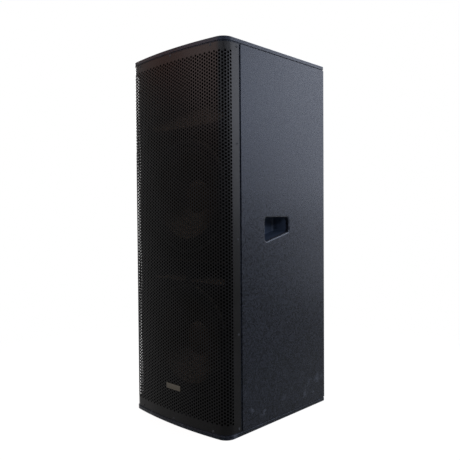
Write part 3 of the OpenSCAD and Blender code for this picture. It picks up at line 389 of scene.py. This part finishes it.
def piece(name, points, faces, material, slot, *stands_for,
          body="cabinet", mend=True, flat=False, worn=()):
    mesh = bpy.data.meshes.new(name)
    mesh.from_pydata([(x / 1000, y / 1000, z / 1000) for x, y, z in points], [], faces)
    # Faces listed in worn take the rubbed paint: wear, with a painted highlight along the edge.
    for i in worn:
        mesh.polygons[i].material_index = 1
    if mend:
        shape = bmesh.new()
        shape.from_mesh(mesh)
        bmesh.ops.remove_doubles(shape, verts=shape.verts, dist=1e-6)
        bmesh.ops.dissolve_degenerate(shape, edges=shape.edges, dist=1e-6)
        bmesh.ops.recalc_face_normals(shape, faces=shape.faces)
        shape.to_mesh(mesh)
        shape.free()
    mesh.shade_smooth()
    mesh.set_sharp_from_angle(angle=math.radians(35))
    mesh.materials.append(material)
    if worn:
        mesh.materials.append(rubbed_paint_highlit)
    made = bpy.data.objects.new(name, mesh)
    scene.collection.objects.link(made)
    if flat:
        made.modifiers.new("even_light", "WEIGHTED_NORMAL").keep_sharp = True
    if body:
        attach(made, body)
    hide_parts(*stands_for)
    return made


def turn(start, end, steps):
    return [math.radians(start + (end - start) * i / steps) for i in range(steps + 1)]


print("a quarter turn in 4 steps:", [round(math.degrees(a)) for a in turn(0, 90, 4)])

# %% [markdown]
# ## Top and bottom panels
# Both are one plan: a shallow bow in front, two round corners, straight sides. A router rounds the
# outer edge and cuts a small step where the panel meets the sides, which reads as a shadow line.
# The plan is drawn at a few insets and heights, as a router would leave it.

# %% Top and bottom panels
cab_w, cab_d, cab_h, ply_t = 470, 545, 1250, 15
bow, corner_r, groove = 20, 37, 2.5
bow_r = (cab_w ** 2 / 4 + bow ** 2) / (2 * bow)
bow_y = bow_r - cab_d / 2
corner_x = cab_w / 2 - corner_r
corner_y = bow_y - math.sqrt((bow_r - corner_r) ** 2 - corner_x ** 2)
lean = math.degrees(math.asin(corner_x / (bow_r - corner_r)))


def plan(inset, rear_inset, z):
    r, rear = 4, cab_d / 2 - rear_inset
    half = [(corner_x + (corner_r - inset) * math.cos(a), corner_y + (corner_r - inset) * math.sin(a))
            for a in turn(0, lean - 90, 14)]
    half += [((bow_r - inset) * math.sin(a), bow_y - (bow_r - inset) * math.cos(a))
             for a in turn(lean, 0, 22)[1:-1]]
    side = cab_w / 2 - inset - r
    start = [(side + r * math.cos(a), rear - r + r * math.sin(a)) for a in turn(90, 0, 4)]
    right = start + half
    return [(x, y, z) for x, y in right] + [(-x, y, z) for x, y in right[::-1]]


round_r, bevel = 2, 0.8
edge = [(groove, 0, 0), (groove, 0, groove), (bevel, 0, groove), (0, 0, groove + bevel)]
edge += [(round_r * (1 - math.cos(a)), round_r * (1 - math.cos(a)),
          ply_t - round_r + round_r * math.sin(a)) for a in turn(0, 90, 5)]
top_rings = [plan(inset, rear, cab_h - ply_t + z) for inset, rear, z in edge]
bottom_rings = [plan(inset, rear, ply_t - z) for inset, rear, z in edge]
around = len(top_rings[0])
# The roundover takes the rubbed paint: wear, with a painted highlight along the edge.
roundover = range(6 * around, 8 * around)
piece("top_board", *capped(top_rings), paint, "black_paint_ply", "top_panel", flat=True, worn=roundover)
piece("bottom_board", *capped(bottom_rings), paint, "black_paint_ply", "bottom_panel",
      flat=True, worn=roundover)
print("corner centre:", round(corner_x, 1), round(corner_y, 2), "mm")
print("the bow ends at", round(lean, 2), "degrees")

# %% [markdown]
# ## Side panels and the handle opening
# Each side is a board with a thinner tongue in front for the grille. Its handle opening has a level
# top edge, two upright ends, round corners and a lower edge that climbs 1 in 4 to the rear.
# The hole's edge is rounded so that it doesn't cut the hand. The faces round the hole are filled
# from their outlines; everything else is strips.

# %% Side panels
flange_y = corner_y + 34.5
shoulder_y, tongue_y = flange_y + 3.5, corner_y + 11
seat_x, inside_x, rear_y = cab_w / 2 - 3.5, cab_w / 2 - ply_t, cab_d / 2
low_z, high_z = ply_t, cab_h - ply_t
handle_corners = [(-58.5, 624), (49.5, 651), (49.5, 683.5), (-58.5, 683.5)]
handle_r = 10


def handle_ring(x, grow, lift=0):
    ring = []
    spots = [(y, z + (lift if i > 1 else 0)) for i, (y, z) in enumerate(handle_corners)]
    for i, (y, z) in enumerate(spots):
        y0, z0 = spots[i - 1]
        y1, z1 = spots[(i + 1) % 4]
        into = math.atan2(z - z0, y - y0) - math.pi / 2
        out = math.atan2(z1 - z, y1 - y) - math.pi / 2
        out += 2 * math.pi if out < into else 0
        ring += [(x, y + (handle_r + grow) * math.cos(a), z + (handle_r + grow) * math.sin(a))
                 for a in (into + (out - into) * k / 8 for k in range(9))]
    return ring


def board_ring(x, front, inset):
    r = 1.2
    corners = [(front + inset, low_z + inset, 180), (rear_y - inset, low_z + inset, 270),
               (rear_y - inset, high_z - inset, 0), (front + inset, high_z - inset, 90)]
    ring = []
    for y, z, a0 in corners:
        cy = y + r if a0 in (180, 90) else y - r
        cz = z + r if a0 in (180, 270) else z - r
        ring += [(x, cy + r * math.cos(a), cz + r * math.sin(a)) for a in turn(a0, a0 + 90, 3)]
    return ring


def filled(loops):
    shape = bmesh.new()
    for loop in loops:
        made = [shape.verts.new(p) for p in loop]
        for i, v in enumerate(made):
            shape.edges.new((made[i - 1], v))
    bmesh.ops.triangle_fill(shape, edges=shape.edges, use_beauty=True)
    shape.verts.index_update()
    points = [tuple(v.co) for v in shape.verts]
    faces = [tuple(v.index for v in f.verts) for f in shape.faces]
    shape.free()
    return points, faces


def joined(*parts):
    points, faces = [], []
    for some_points, some_faces in parts:
        shift = len(points)
        points += some_points
        faces += [tuple(i + shift for i in face) for face in some_faces]
    return points, faces


def mirrored(points, faces):
    return [(-x, y, z) for x, y, z in points], [face[::-1] for face in faces]


hand_r, board_r = 5, 1.5
outer = [board_ring(x, front, 0)
         for x, front in ((inside_x, tongue_y), (seat_x, tongue_y), (seat_x, shoulder_y))]
outer += [board_ring(cab_w / 2 - board_r + board_r * math.sin(a), shoulder_y, board_r * (1 - math.cos(a)))
          for a in turn(0, 90, 4)]
hole = [handle_ring(inside_x, 0)]
hole += [handle_ring(cab_w / 2 - hand_r + hand_r * math.sin(a), hand_r * (1 - math.cos(a)))
         for a in turn(0, 90, 6)]
side_board = joined(strips(hole), strips(outer),
                    filled([outer[0], hole[0]]), filled([outer[-1], hole[-1]]))
# The hole's rounded edge takes the rubbed paint: wear, with a painted highlight along it.
hand_edge = range(len(hole[0]), 6 * len(hole[0]))
piece("right_side_board", *side_board, paint, "black_paint_ply", "right_side_panel",
      flat=True, worn=hand_edge)
piece("left_side_board", *mirrored(*side_board), paint, "black_paint_ply", "left_side_panel",
      flat=True, worn=hand_edge)
print("side boards:", len(side_board[1]), "faces each")

# %% [markdown]
# ## Handle cups
# Behind each opening a moulded pocket takes the fingers. Its roof is 20 mm higher than the hole,
# so the hand closes over the board. A mould needs round inner corners, so the floor meets the
# walls in an 8 mm radius. The rings run up the inside, over the flange and down the outside.

# %% Handle cups
depth, wall, lip, lift, floor_r = 62, 3, 16, 20, 8
floor_x = inside_x - depth + wall
rings = [handle_ring(floor_x + floor_r * (1 - math.cos(a)), floor_r * (math.sin(a) - 1), lift)
         for a in turn(0, 90, 5)]
rings += [handle_ring(inside_x - 0.05, 0, lift), handle_ring(inside_x - 0.05, wall + lip, lift)]
rings += [handle_ring(inside_x - wall, wall + lip, lift), handle_ring(inside_x - wall, wall, lift)]
rings += [handle_ring(floor_x - wall + (floor_r + wall) * (1 - math.cos(a)),
                      wall + (floor_r + wall) * (math.sin(a) - 1), lift) for a in turn(90, 12, 5)]
cup = capped(rings)
piece("right_handle_pocket", *cup, cup_plastic, "black_plastic", "right_handle_cup", flat=True)
piece("left_handle_pocket", *mirrored(*cup), cup_plastic, "black_plastic", "left_handle_cup", flat=True)
print("pocket floor", round(inside_x - floor_x), "mm behind the board")

# %% [markdown]
# ## The grille
# The grille is one punched sheet, bent round both corners. An image with see-through dots would
# look flat at the corners and let no light in, so the holes are real. The sheet is laid out flat:
# `s` is the distance along its outer face from the middle and `z` the height. Each hole sits in a
# six-sided cell, and 60-degree rows make the cells of one column meet those of the next halfway
# up. `bent` then wraps a flat point round the bow, the corner and the side flange, which stops 2 mm
# short of the solid's so that the shadow line beside it is as wide as in the picture. The sheet is
# made in two halves that meet in the middle, because one mesh of it would be very heavy.

# %% Grille layout
sheet_t, inset = 1.5, 2
bow_out, corner_out = bow_r - inset, corner_r - inset
s_corner = bow_out * math.radians(lean)
s_flange = s_corner + corner_out * math.radians(90 - lean)
shadow_gap = 2
s_end = s_flange + flange_y - corner_y - shadow_gap
column, half_row, hole_r, hole_sides = 9.44, 5.41, 3.75, 12
columns, half_rows = 27, 216
sheet_low, sheet_high, first_z = ply_t + 1, cab_h - ply_t - 1, 42.7


def bent(s, depth):
    if s < s_corner:
        a = s / bow_out
        return (bow_out - depth) * math.sin(a), bow_y - (bow_out - depth) * math.cos(a)
    if s < s_flange:
        a = math.radians(lean) + (s - s_corner) / corner_out
        r = corner_out - depth
        return corner_x + r * math.sin(a), corner_y - r * math.cos(a)
    return corner_x + corner_out - depth, corner_y + s - s_flange


print("half sheet:", round(s_end, 1), "mm along the bend; open area",
      round(100 * math.pi * hole_r ** 2 / (2 * column * half_row)), "%")

# %% Grille mesh
def half_sheet(shift):
    lines = [k * column for k in range(columns + 1)] + [s_end]
    heights = [sheet_low] + [first_z + half_row * m for m in range(half_rows + 1)] + [sheet_high]
    flat = [(s, z) for s in lines for z in heights]
    tall = len(heights)
    skin, walls = [], []
    for k in range(columns):
        first = k * tall + 1
        late = (k + shift) % 2
        for m in range(late, half_rows - 1 - late, 2):
            bl, ml, tl = first + m, first + m + 1, first + m + 2
            br, mr, tr = bl + tall, ml + tall, tl + tall
            rim = len(flat)
            flat += [((k + 0.5) * column + hole_r * math.cos(a), heights[m + 2] + hole_r * math.sin(a))
                     for a in turn(0, 330, hole_sides - 1)]
            ring = (mr, tr, tr, tl, tl, ml, ml, bl, bl, br, br, mr)
            skin += [(spot, rim + (i + 1) % hole_sides, rim + i) for i, spot in enumerate(ring)]
            skin += [(ring[i - 1], ring[i], rim + i) for i in range(1, hole_sides, 2)]
            walls += [(rim + (i + 1) % hole_sides, rim + i) for i in range(hole_sides)]
        blank = [0, 1, half_rows, half_rows + 1] if late else [0, half_rows + 1]
        here, beside = k * tall, (k + 1) * tall
        skin += [(here + n, beside + n, beside + n + 1, here + n + 1) for n in blank]
    edge = columns * tall
    last = edge + tall
    skin += [(edge + n, last + n, last + n + 1, edge + n + 1) for n in range(tall - 1)]
    walls += [(n + 1, n) for n in range(tall - 1)] + [(last + n, last + n + 1) for n in range(tall - 1)]
    walls += [(k * tall, (k + 1) * tall) for k in range(columns + 1)]
    walls += [((k + 1) * tall + tall - 1, k * tall + tall - 1) for k in range(columns + 1)]
    under = len(flat)
    faces = skin + [tuple(i + under for i in face[::-1]) for face in skin]
    faces += [(b, a, a + under, b + under) for a, b in walls]
    return [(*bent(s, depth), z) for depth in (0, sheet_t) for s, z in flat], faces


right_half, left_half = half_sheet(0), half_sheet(1)
piece("grille_right_half", *right_half, coat, "grille_steel", "grille", mend=False)
piece("grille_left_half", *mirrored(*left_half), coat, "grille_steel", "grille", mend=False)
print("grille:", len(right_half[1]) + len(left_half[1]), "faces")

# %% [markdown]
# ## The badge
# A small blank plate is riveted to the grille near the floor. It follows the bow, has rounded
# corners and a fine raised rim. The outline is drawn flat at a few insets and wrapped like the
# grille, and its face is filled with upright strips so that it bends with the sheet.

# %% Badge
badge_w, badge_h, badge_z = 70, 18, 128


def badge_ring(grow, depth):
    w, h, r = badge_w / 2 + grow, badge_h / 2 + grow, max(1.2 + grow, 0.2)
    spots = [(w - r + r * math.cos(a), r + r * math.sin(a) - h) for a in turn(-90, 0, 3)]
    right = [((w - r) * i / 8, -h) for i in range(8)] + spots
    flat_ring = right + [(s, -v) for s, v in right[::-1]]
    flat_ring += [(-s, v) for s, v in flat_ring[1:-1][::-1]]
    out = []
    for s, v in flat_ring:
        x, y = bent(abs(s), depth)
        out.append((math.copysign(x, s), y, badge_z + v))
    return out


rings = [badge_ring(g, d) for g, d in ((0, 0.02), (0, -1.1), (-0.12, -1.38), (-0.4, -1.5), (-1.3, -1.5),
                                       (-1.5, -1.44), (-1.9, -1.15), (-2.1, -1.1))]
points, faces = strips(rings)
n = len(rings[0])
for layer, ring in ((0, rings[0]), (len(points) - n, rings[-1])):
    top = {round(x, 4): i for i, (x, y, z) in enumerate(ring) if z > badge_z}
    low = {round(x, 4): i for i, (x, y, z) in enumerate(ring) if z < badge_z}
    xs = sorted(set(top) & set(low))
    for a, b in zip(xs, xs[1:]):
        faces.append((layer + low[a], layer + low[b], layer + top[b], layer + top[a]))
piece("badge", points, faces, badge_metal, "badge_metal", "badge_plate")
print("badge:", badge_w, "x", badge_h, "mm,", len(faces), "faces")

# %% [markdown]
# ## Woofers
# Turned parts are a section carried round the axis. The cone is pressed with a few shallow ribs
# that stiffen it, the cap is a shallow dome, and the gasket is a foam ring with soft edges.
# Depth `t` runs into the cabinet from the baffle's face.

# %% Woofer cones, caps and gaskets
baffle_y = corner_y + 21


def turned(section, z, start=0, end=360, steps=128):
    whole = end - start == 360
    rings = [[(r * math.cos(a), baffle_y + t, z + r * math.sin(a)) for r, t in section]
             for a in (turn(start, end, steps)[:-1] if whole else turn(start, end, steps))]
    return strips(rings, closed=True) if whole else capped(rings)


def rib(r):
    return 0.9 * sum(math.exp(-((r - place) / 2.2) ** 2) for place in (76, 94, 112, 130))


woofers = (("upper", 767), ("lower", 272))
rim_r, neck_r, rim_t, neck_t = 145.5, 38.4, -5.3, 61
slope = (neck_t - rim_t) / (rim_r - neck_r)
face = [(r, rim_t + (rim_r - r) * slope - rib(r))
        for r in [rim_r - (rim_r - neck_r) * i / 72 for i in range(73)]]
cone = [(152.5, rim_t)] + face + [(r, t + 1.6) for r, t in face[::-1]] + [(152.5, -4.1)]
cap_r, cap_rise = 58, 16
cap_t = rim_t + (rim_r - cap_r) * slope
cap_ball = (cap_r ** 2 + cap_rise ** 2) / (2 * cap_rise)
dome = [(r, cap_t - cap_rise + cap_ball - math.sqrt(cap_ball ** 2 - r ** 2))
        for r in [cap_r * i / 24 for i in range(25)]]
cap = dome + [(r, t + 1) for r, t in dome[::-1]]
cap[24], cap[25] = (cap_r, cap_t - 0.4), (cap_r - 0.8, cap_t + 0.2)
pad = [(181, -6.8), (170.5, -6.8), (170.5, -10.8)]
pad += [(175.75 - 5.25 * math.cos(a), -10.8 - 2 * math.sin(a)) for a in turn(0, 180, 10)]
for name, z in woofers:
    moving = name + "_cone_assembly"
    piece(name + "_paper_cone", *turned(cone, z), paper, "cone_paper", name + "_cone", body=moving)
    piece(name + "_cap", *turned(cap, z), cap_paper, "cone_paper", name + "_dust_cap", body=moving)
    ring = piece(name + "_foam_gasket", *turned(pad, z), foam, "gasket_foam", name + "_gasket")
print("cones slope", round(math.degrees(math.atan(slope)), 1), "degrees; cap ball", round(cap_ball, 1))

# %% [markdown]
# ## Surrounds, spiders and the dome's suspension
# These rings flex when a cone or the dome moves: their outer edge stays with the frame and their
# inner edge goes with the moving part.

# %% Surrounds, spiders and the dome's suspension
def flexing(name, node, loop, z, sectors, material, slot):
    step = 360 / sectors
    for i in range(sectors):
        sector = piece(f"{name}_{i + 1:02d}", *turned(loop, z, i * step, (i + 1) * step, 128 // sectors),
                       material, slot, node, body=None)
        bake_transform(sector)
    print(name, "in", sectors, "sectors")


def corrugated(r):
    return 71.2 - (1.6 * (1 - math.cos(10 * math.pi * (86 - r) / 41.6)) if 44.4 < r < 86 else 0)


roll = [(169.5 - i / 2, -6.8 - 4.2 * math.sin(2 * math.pi * i / 40) ** 2) for i in range(41)]
roll = [(180.5, -6.75)] + roll + [(146.5, -6.8)]
waves = [(97.8 - 59 * i / 90, corrugated(97.8 - 59 * i / 90)) for i in range(91)]
film = [(43.6 - 6.6 * i / 16, 182.1 + 0.5 * math.sin(math.pi * i / 16) ** 2) for i in range(17)]
for name, z in woofers:
    moving = name + "_cone_assembly"
    flexing(name + "_surround_cloth", name + "_surround", roll + [(r, t + 0.75) for r, t in roll[::-1]],
            z, 16, cloth, "surround_cloth")
    flexing(name + "_spider_cloth", name + "_spider", waves + [(r, t + 0.7) for r, t in waves[::-1]],
            z, 8, inside["resin_spider_cloth"], "spider_cloth")
horn_z = 1103
clamped = [(43.6, 184.6), (44, 184.95), (71.5, 184.95), (71.9, 184.6), (71.9, 182.1)]
flexing("dome_film", "hf_suspension", film + [(r, t + 0.25) for r, t in film[::-1]] + clamped,
        horn_z, 8, inside["polyimide_film"], "spider_cloth")

# %% [markdown]
# ## The horn
# The horn is a moulded waveguide: a round throat that opens into a wide, softly squared mouth in a
# flat flange. Each ring is a superellipse, whose exponent grows from 2, a circle, to 6, nearly a
# rectangle. The rings run from the flange's edge over its face, down the flare and back outside.

# %% Horn
horn_w, horn_h, horn_d, mouth_x, mouth_z, throat_r = 428, 250, 132, 190, 97, 18


def power(v, e):
    return math.copysign(abs(v) ** e, v)


def horn_ring(a, b, n, t, sides=96):
    return [(a * power(math.cos(w), 2 / n), baffle_y + t, horn_z + b * power(math.sin(w), 2 / n))
            for w in (2 * math.pi * (i + 0.5) / sides for i in range(sides))]


def flare(s, wall):
    wide = throat_r + wall + (mouth_x - throat_r) * (1 - s) ** 1.6
    high = throat_r + wall + (mouth_z - throat_r) * (1 - s) ** 1.25
    return horn_ring(wide, high, 2 + 4 * (1 - s) ** 1.5, s * horn_d)


lip_r = 1.5
rings = [horn_ring(horn_w / 2 - lip_r + lip_r * math.cos(a), horn_h / 2 - lip_r + lip_r * math.cos(a),
                   40, -4.5 - lip_r * math.sin(a)) for a in turn(0, 90, 4)]
rings += [horn_ring(mouth_x + g, mouth_z + g, 6, t)
          for g, t in ((11, -6), (9, -5.8), (6, -4.9), (3, -3.2), (1, -1.2))]
rings += [flare(i / 20, 0) for i in range(21)]
rings += [horn_ring(r, r, 2, t) for r, t in ((throat_r, 140), (62, 140), (62, horn_d))]
rings += [flare(i / 20, 4) for i in range(20, 0, -1)]
rings += [horn_ring(mouth_x + 4, mouth_z + 4, 6, 0), horn_ring(horn_w / 2, horn_h / 2, 40, 0)]
piece("horn_waveguide", *strips(rings, closed=True), plastic, "black_plastic", "horn")
print("horn:", len(rings), "rings of 96 points")

# %% [markdown]
# ## Ports, input dish and sockets
# These are boxes with round corners, drawn at several depths. A port's lip is rounded so that air
# leaves it quietly. The dish is drawn from sheet steel, so every bend in it has a radius. The
# socket is a plate with a ring-shaped well round a core; three slots in the well's wall take the
# plug's keys.

# %% Ports
def box_ring(w, h, r, x, y, z, per=12):
    ring = []
    for cx, cz, a0 in ((1, 1, 0), (-1, 1, 90), (-1, -1, 180), (1, -1, 270)):
        ring += [(x + cx * (w / 2 - r) + r * math.cos(a), y, z + cz * (h / 2 - r) + r * math.sin(a))
                 for a in turn(a0, a0 + 90, per - 1)]
    return ring


port_w, port_h, port_d, port_z = 173, 66, 110, 510
port_loop = [(6, 0), (6, -1.8)]
port_loop += [(4.8 + 1.2 * math.cos(a), -1.8 - 1.2 * math.sin(a)) for a in turn(20, 90, 4)]
port_loop += [(-4 + 6 * (1 - math.sin(a)), 3 - 6 * math.cos(a)) for a in turn(0, 90, 6)]
port_loop += [(-4, port_d - 2), (-2, port_d), (0, port_d), (0, 0)]
for name, x in (("left", -94.5), ("right", 94.5)):
    rings = [box_ring(port_w + 2 * grow, port_h + 2 * grow, 10 + min(grow, 3), x, baffle_y + t, port_z)
             for grow, t in port_loop]
    piece(name + "_port", *strips(rings, closed=True), plastic, "black_plastic", name + "_port_duct")
print("ports:", port_w, "x", port_h, "mm,", port_d, "mm long")

# %% Input dish
out_y, dish_z, dish_d, socket_x = rear_y - 6, 400, 27, 36


def circle_ring(r, x, y, z, count=48, keys=0):
    ring = []
    for a in (2 * math.pi * i / count for i in range(count)):
        off = [abs((math.degrees(a) - key + 180) % 360 - 180) for key in (90, 210, 330)]
        q = r + (keys if min(off) < 8 else 0)
        ring.append((x + q * math.cos(a), y, z + q * math.sin(a)))
    return ring


def dish(grow, y, r):
    return box_ring(156 + 2 * grow, 84 + 2 * grow, r, 0, y, dish_z)


face_side = [dish(grow, out_y + y, r)
             for grow, y, r in ((14, 0.02, 8), (14, 1.6, 8), (13.6, 2.3, 7.6), (13, 2.5, 7))]
face_side += [dish(-2.5 + 3 * (1 - math.sin(a)), out_y - 0.5 + 3 * math.cos(a), 10)
              for a in turn(0, 90, 5)]
face_side += [dish(-2.5 - 5 * (1 - math.cos(a)), out_y + 5 - dish_d - 5 * math.sin(a), 10)
              for a in turn(0, 90, 5)]
back_side = [dish(grow, out_y + y, 10) for grow, y in ((-7.5, -29.5), (-3, -28), (0, -24), (0, 0.02))]
holes = [[circle_ring(13.15, x, y, dish_z) for y in (out_y - dish_d, out_y - 29.5)]
         for x in (-socket_x, socket_x)]
shell = joined(strips(face_side), strips(back_side), strips([back_side[-1], face_side[0]]),
               filled([face_side[-1]] + [h[0] for h in holes]),
               filled([back_side[0]] + [h[1] for h in holes]), *[strips(h) for h in holes])
piece("pressed_dish", *shell, coat, "dish_steel", "input_dish", flat=True)
print("dish floor", dish_d, "mm behind its seat in the panel")

# %% Sockets
back = [(13, 29, 0), (13, 3, 0)]
plate = [(30, 3), (30, 0.8), (29.5, 0.2), (28.6, 0)]
well = [(12.4, 0, 1), (12, -0.6, 1), (11.4, -0.6, 1.5), (11, 0.2, 1.7), (11, 12, 1.7), (11, 12.05, 0),
        (11, 22, 0), (5, 22, 0), (5, 2, 0), (4.6, 1.2, 0), (3.8, 0.8, 0)]


def socket(x):
    top = out_y - 24
    rings = [circle_ring(r, x, top - t, dish_z, keys=keys) for r, t, keys in back]
    rings += [box_ring(side, side, 4, x, top - t, dish_z) for side, t in plate]
    rings += [circle_ring(r, x, top - t, dish_z, keys=keys) for r, t, keys in well]
    return capped(rings)


piece("sockets", *joined(socket(-socket_x), socket(socket_x)), socket_plastic, "socket_plastic",
      "speaker_sockets")
print("sockets: two,", 2 * socket_x, "mm apart")

# %% [markdown]
# ## Finishes for the solids that stay
# The other solids already have the right shape, so they only change their clothes. Screws that can
# be seen are phosphated so that they don't glint on or through the grille; those inside are plain
# zinc.

# %% Finishes for the solids
wear_list = {
    paint: ["rear_panel"],
    baffle_paint: ["front_baffle", "grille_battens"],
    inside["bare_birch_ply"]: ["mid_brace", "upper_brace"],
    zinc: ["handle_screws", "hf_bolts"],
    dark_screw: ["grille_side_screws", "grille_front_screws", "input_screws", "woofer_screws",
                 "horn_screws"],
    frame_paint: ["upper_basket", "lower_basket", "hf_rear_cover"],
    motor_steel: ["upper_front_plate", "lower_front_plate", "upper_yoke", "lower_yoke", "hf_yoke",
                  "hf_top_plate"],
    white_nylon: ["crossover_posts", "woofer_terminals"],
    inside["sintered_ferrite"]: ["upper_magnet", "lower_magnet", "hf_magnet"],
    inside["enamelled_copper"]: ["upper_voice_coil", "lower_voice_coil", "crossover_coils"],
    inside["pressed_titanium"]: ["hf_diaphragm"],
    inside["moulded_phenolic"]: ["hf_phase_plug"],
    inside["green_laminate"]: ["crossover_board"],
    inside["metallised_film"]: ["crossover_capacitors"],
    inside["cement_body"]: ["crossover_resistors"],
    inside["pvc_jacket"]: ["internal_leads"],
}
for material, names in wear_list.items():
    for name in names:
        solid = solids[name]
        if not solid.material_slots:
            solid.data.materials.append(material)
        for place in solid.material_slots:
            place.material = material
print("dressed", sum(len(names) for names in wear_list.values()), "solids")

# %% [markdown]
# ## Floor and background
# The picture has a plain white ground with almost no shadow. The floor is pale, and camera and
# mirror rays see it as nearly white, so only a soft part of the shadow is left. Farther out the
# floor fades into the white world, so there is no horizon line.

# %% Floor and background
def seen_directly(tree):
    rays = add(tree, "ShaderNodeLightPath", {}).outputs
    both = add(tree, "ShaderNodeMath", {0: rays["Is Camera Ray"], 1: rays["Is Glossy Ray"]},
               operation="MAXIMUM")
    return add(tree, "ShaderNodeMath", {0: both, 1: rays["Is Transmission Ray"]}, operation="MAXIMUM")


ground, tree, place = finish("pale_studio_floor")
away = add(tree, "ShaderNodeVectorMath", {0: place}, operation="LENGTH").outputs["Value"]
fade = add(tree, "ShaderNodeMapRange", {"Value": away, "From Min": 0.5, "From Max": 1.6, "To Min": 0.9})
share = add(tree, "ShaderNodeMath", {0: seen_directly(tree), 1: fade}, operation="MULTIPLY")
matt = add(tree, "ShaderNodeBsdfDiffuse", {"Color": linear("#e6e6e4")})
white = add(tree, "ShaderNodeEmission", {"Color": linear("#ffffff"), "Strength": 1.0})
mixed = add(tree, "ShaderNodeMixShader", {0: share, 1: matt, 2: white})
add(tree, "ShaderNodeOutputMaterial", {"Surface": mixed})
mesh = bpy.data.meshes.new("floor")
floor_r = 40
rim = [(floor_r * math.cos(a), floor_r * math.sin(a), 0) for a in turn(0, 352.5, 47)]
mesh.from_pydata(rim, [], [tuple(range(len(rim)))])
mesh.materials.append(ground)
floor = bpy.data.objects.new("floor", mesh)
scene.collection.objects.link(floor)

world = bpy.data.worlds.new("studio")
scene.world = world
world.use_nodes = True
tree = world.node_tree
tree.nodes.clear()
dim = add(tree, "ShaderNodeBackground", {"Color": linear("#dfe6f2"), "Strength": 0.25})
bright = add(tree, "ShaderNodeBackground", {"Color": linear("#ffffff"), "Strength": 1.0})
mixed = add(tree, "ShaderNodeMixShader", {0: seen_directly(tree), 1: dim, 2: bright})
add(tree, "ShaderNodeOutputWorld", {"Surface": mixed})
print("floor and world ready")

# %% [markdown]
# ## Lights
# Outdoors the side panel mirrors a bright sky near its top and darker ground near its foot. A bank
# of three cool softboxes behind and to the right, the lowest the weakest, gives the same slow fall
# of light. One above them draws the thin bright line on rounded edges. Two long strips are mirrored
# in the bent corner of the grille. Its front mirrors a pale softbox, and a weak warm one to the left.
# One high in front lights the up-facing ledges seen through the holes, which also carry painted top
# light, and the last one fills the far side.

# %% Lights
for name, spot, aim, wide, high, power_w, code in (
        ("sky_high", (1.85, 1.65, 1.75), (0.2, 0.0, 1.2), 2.0, 1.0, 70, "#e8edfc"),
        ("sky_middle", (1.55, 2.0, 1.0), (0.2, 0.0, 1.0), 1.7, 0.5, 21, "#e8edfc"),
        ("sky_low", (1.2, 2.35, 0.4), (0.2, 0.0, 0.4), 1.3, 0.6, 8, "#e8edfc"),
        ("edge_light", (0.3, 2.2, 2.8), (0.2, 0.0, 0.8), 1.6, 1.6, 70, "#e6eeff"),
        ("right_strip", (2.45, -0.5, 1.7), (0.2, -0.4, 1.2), 3.3, 0.5, 70, "#e8edfc"),
        ("front_strip", (0.9, -2.7, 1.8), (0.4, -0.2, 1.2), 2.6, 0.5, 48, "#e8edfc"),
        ("front_fill", (-1.0, -2.4, 2.1), (0.0, -0.2, 0.9), 1.2, 1.2, 35, "#ffdfdb"),
        ("warm_softbox", (-1.95, -1.65, 2.2), (0.0, -0.2, 0.9), 1.2, 0.8, 6, "#ff8a60"),
        ("sky_front", (-0.1, -1.05, 3.3), (0.0, -0.25, 0.8), 1.6, 1.0, 55, "#fff0e2"),
        ("left_softbox", (-2.6, 0.6, 1.8), (0.0, 0.0, 0.8), 1.4, 1.2, 50, "#ffffff")):
    lamp = bpy.data.lights.new(name, "AREA")
    lamp.shape = "RECTANGLE"
    lamp.size, lamp.size_y = wide, high
    lamp.energy = power_w
    lamp.color = linear(code)[:3]
    lamp_object = bpy.data.objects.new(name, lamp)
    lamp_object.location = spot
    lamp_object.rotation_euler = (Vector(aim) - Vector(spot)).to_track_quat("-Z", "Y").to_euler()
    scene.collection.objects.link(lamp_object)
    print(name, power_w, "W")
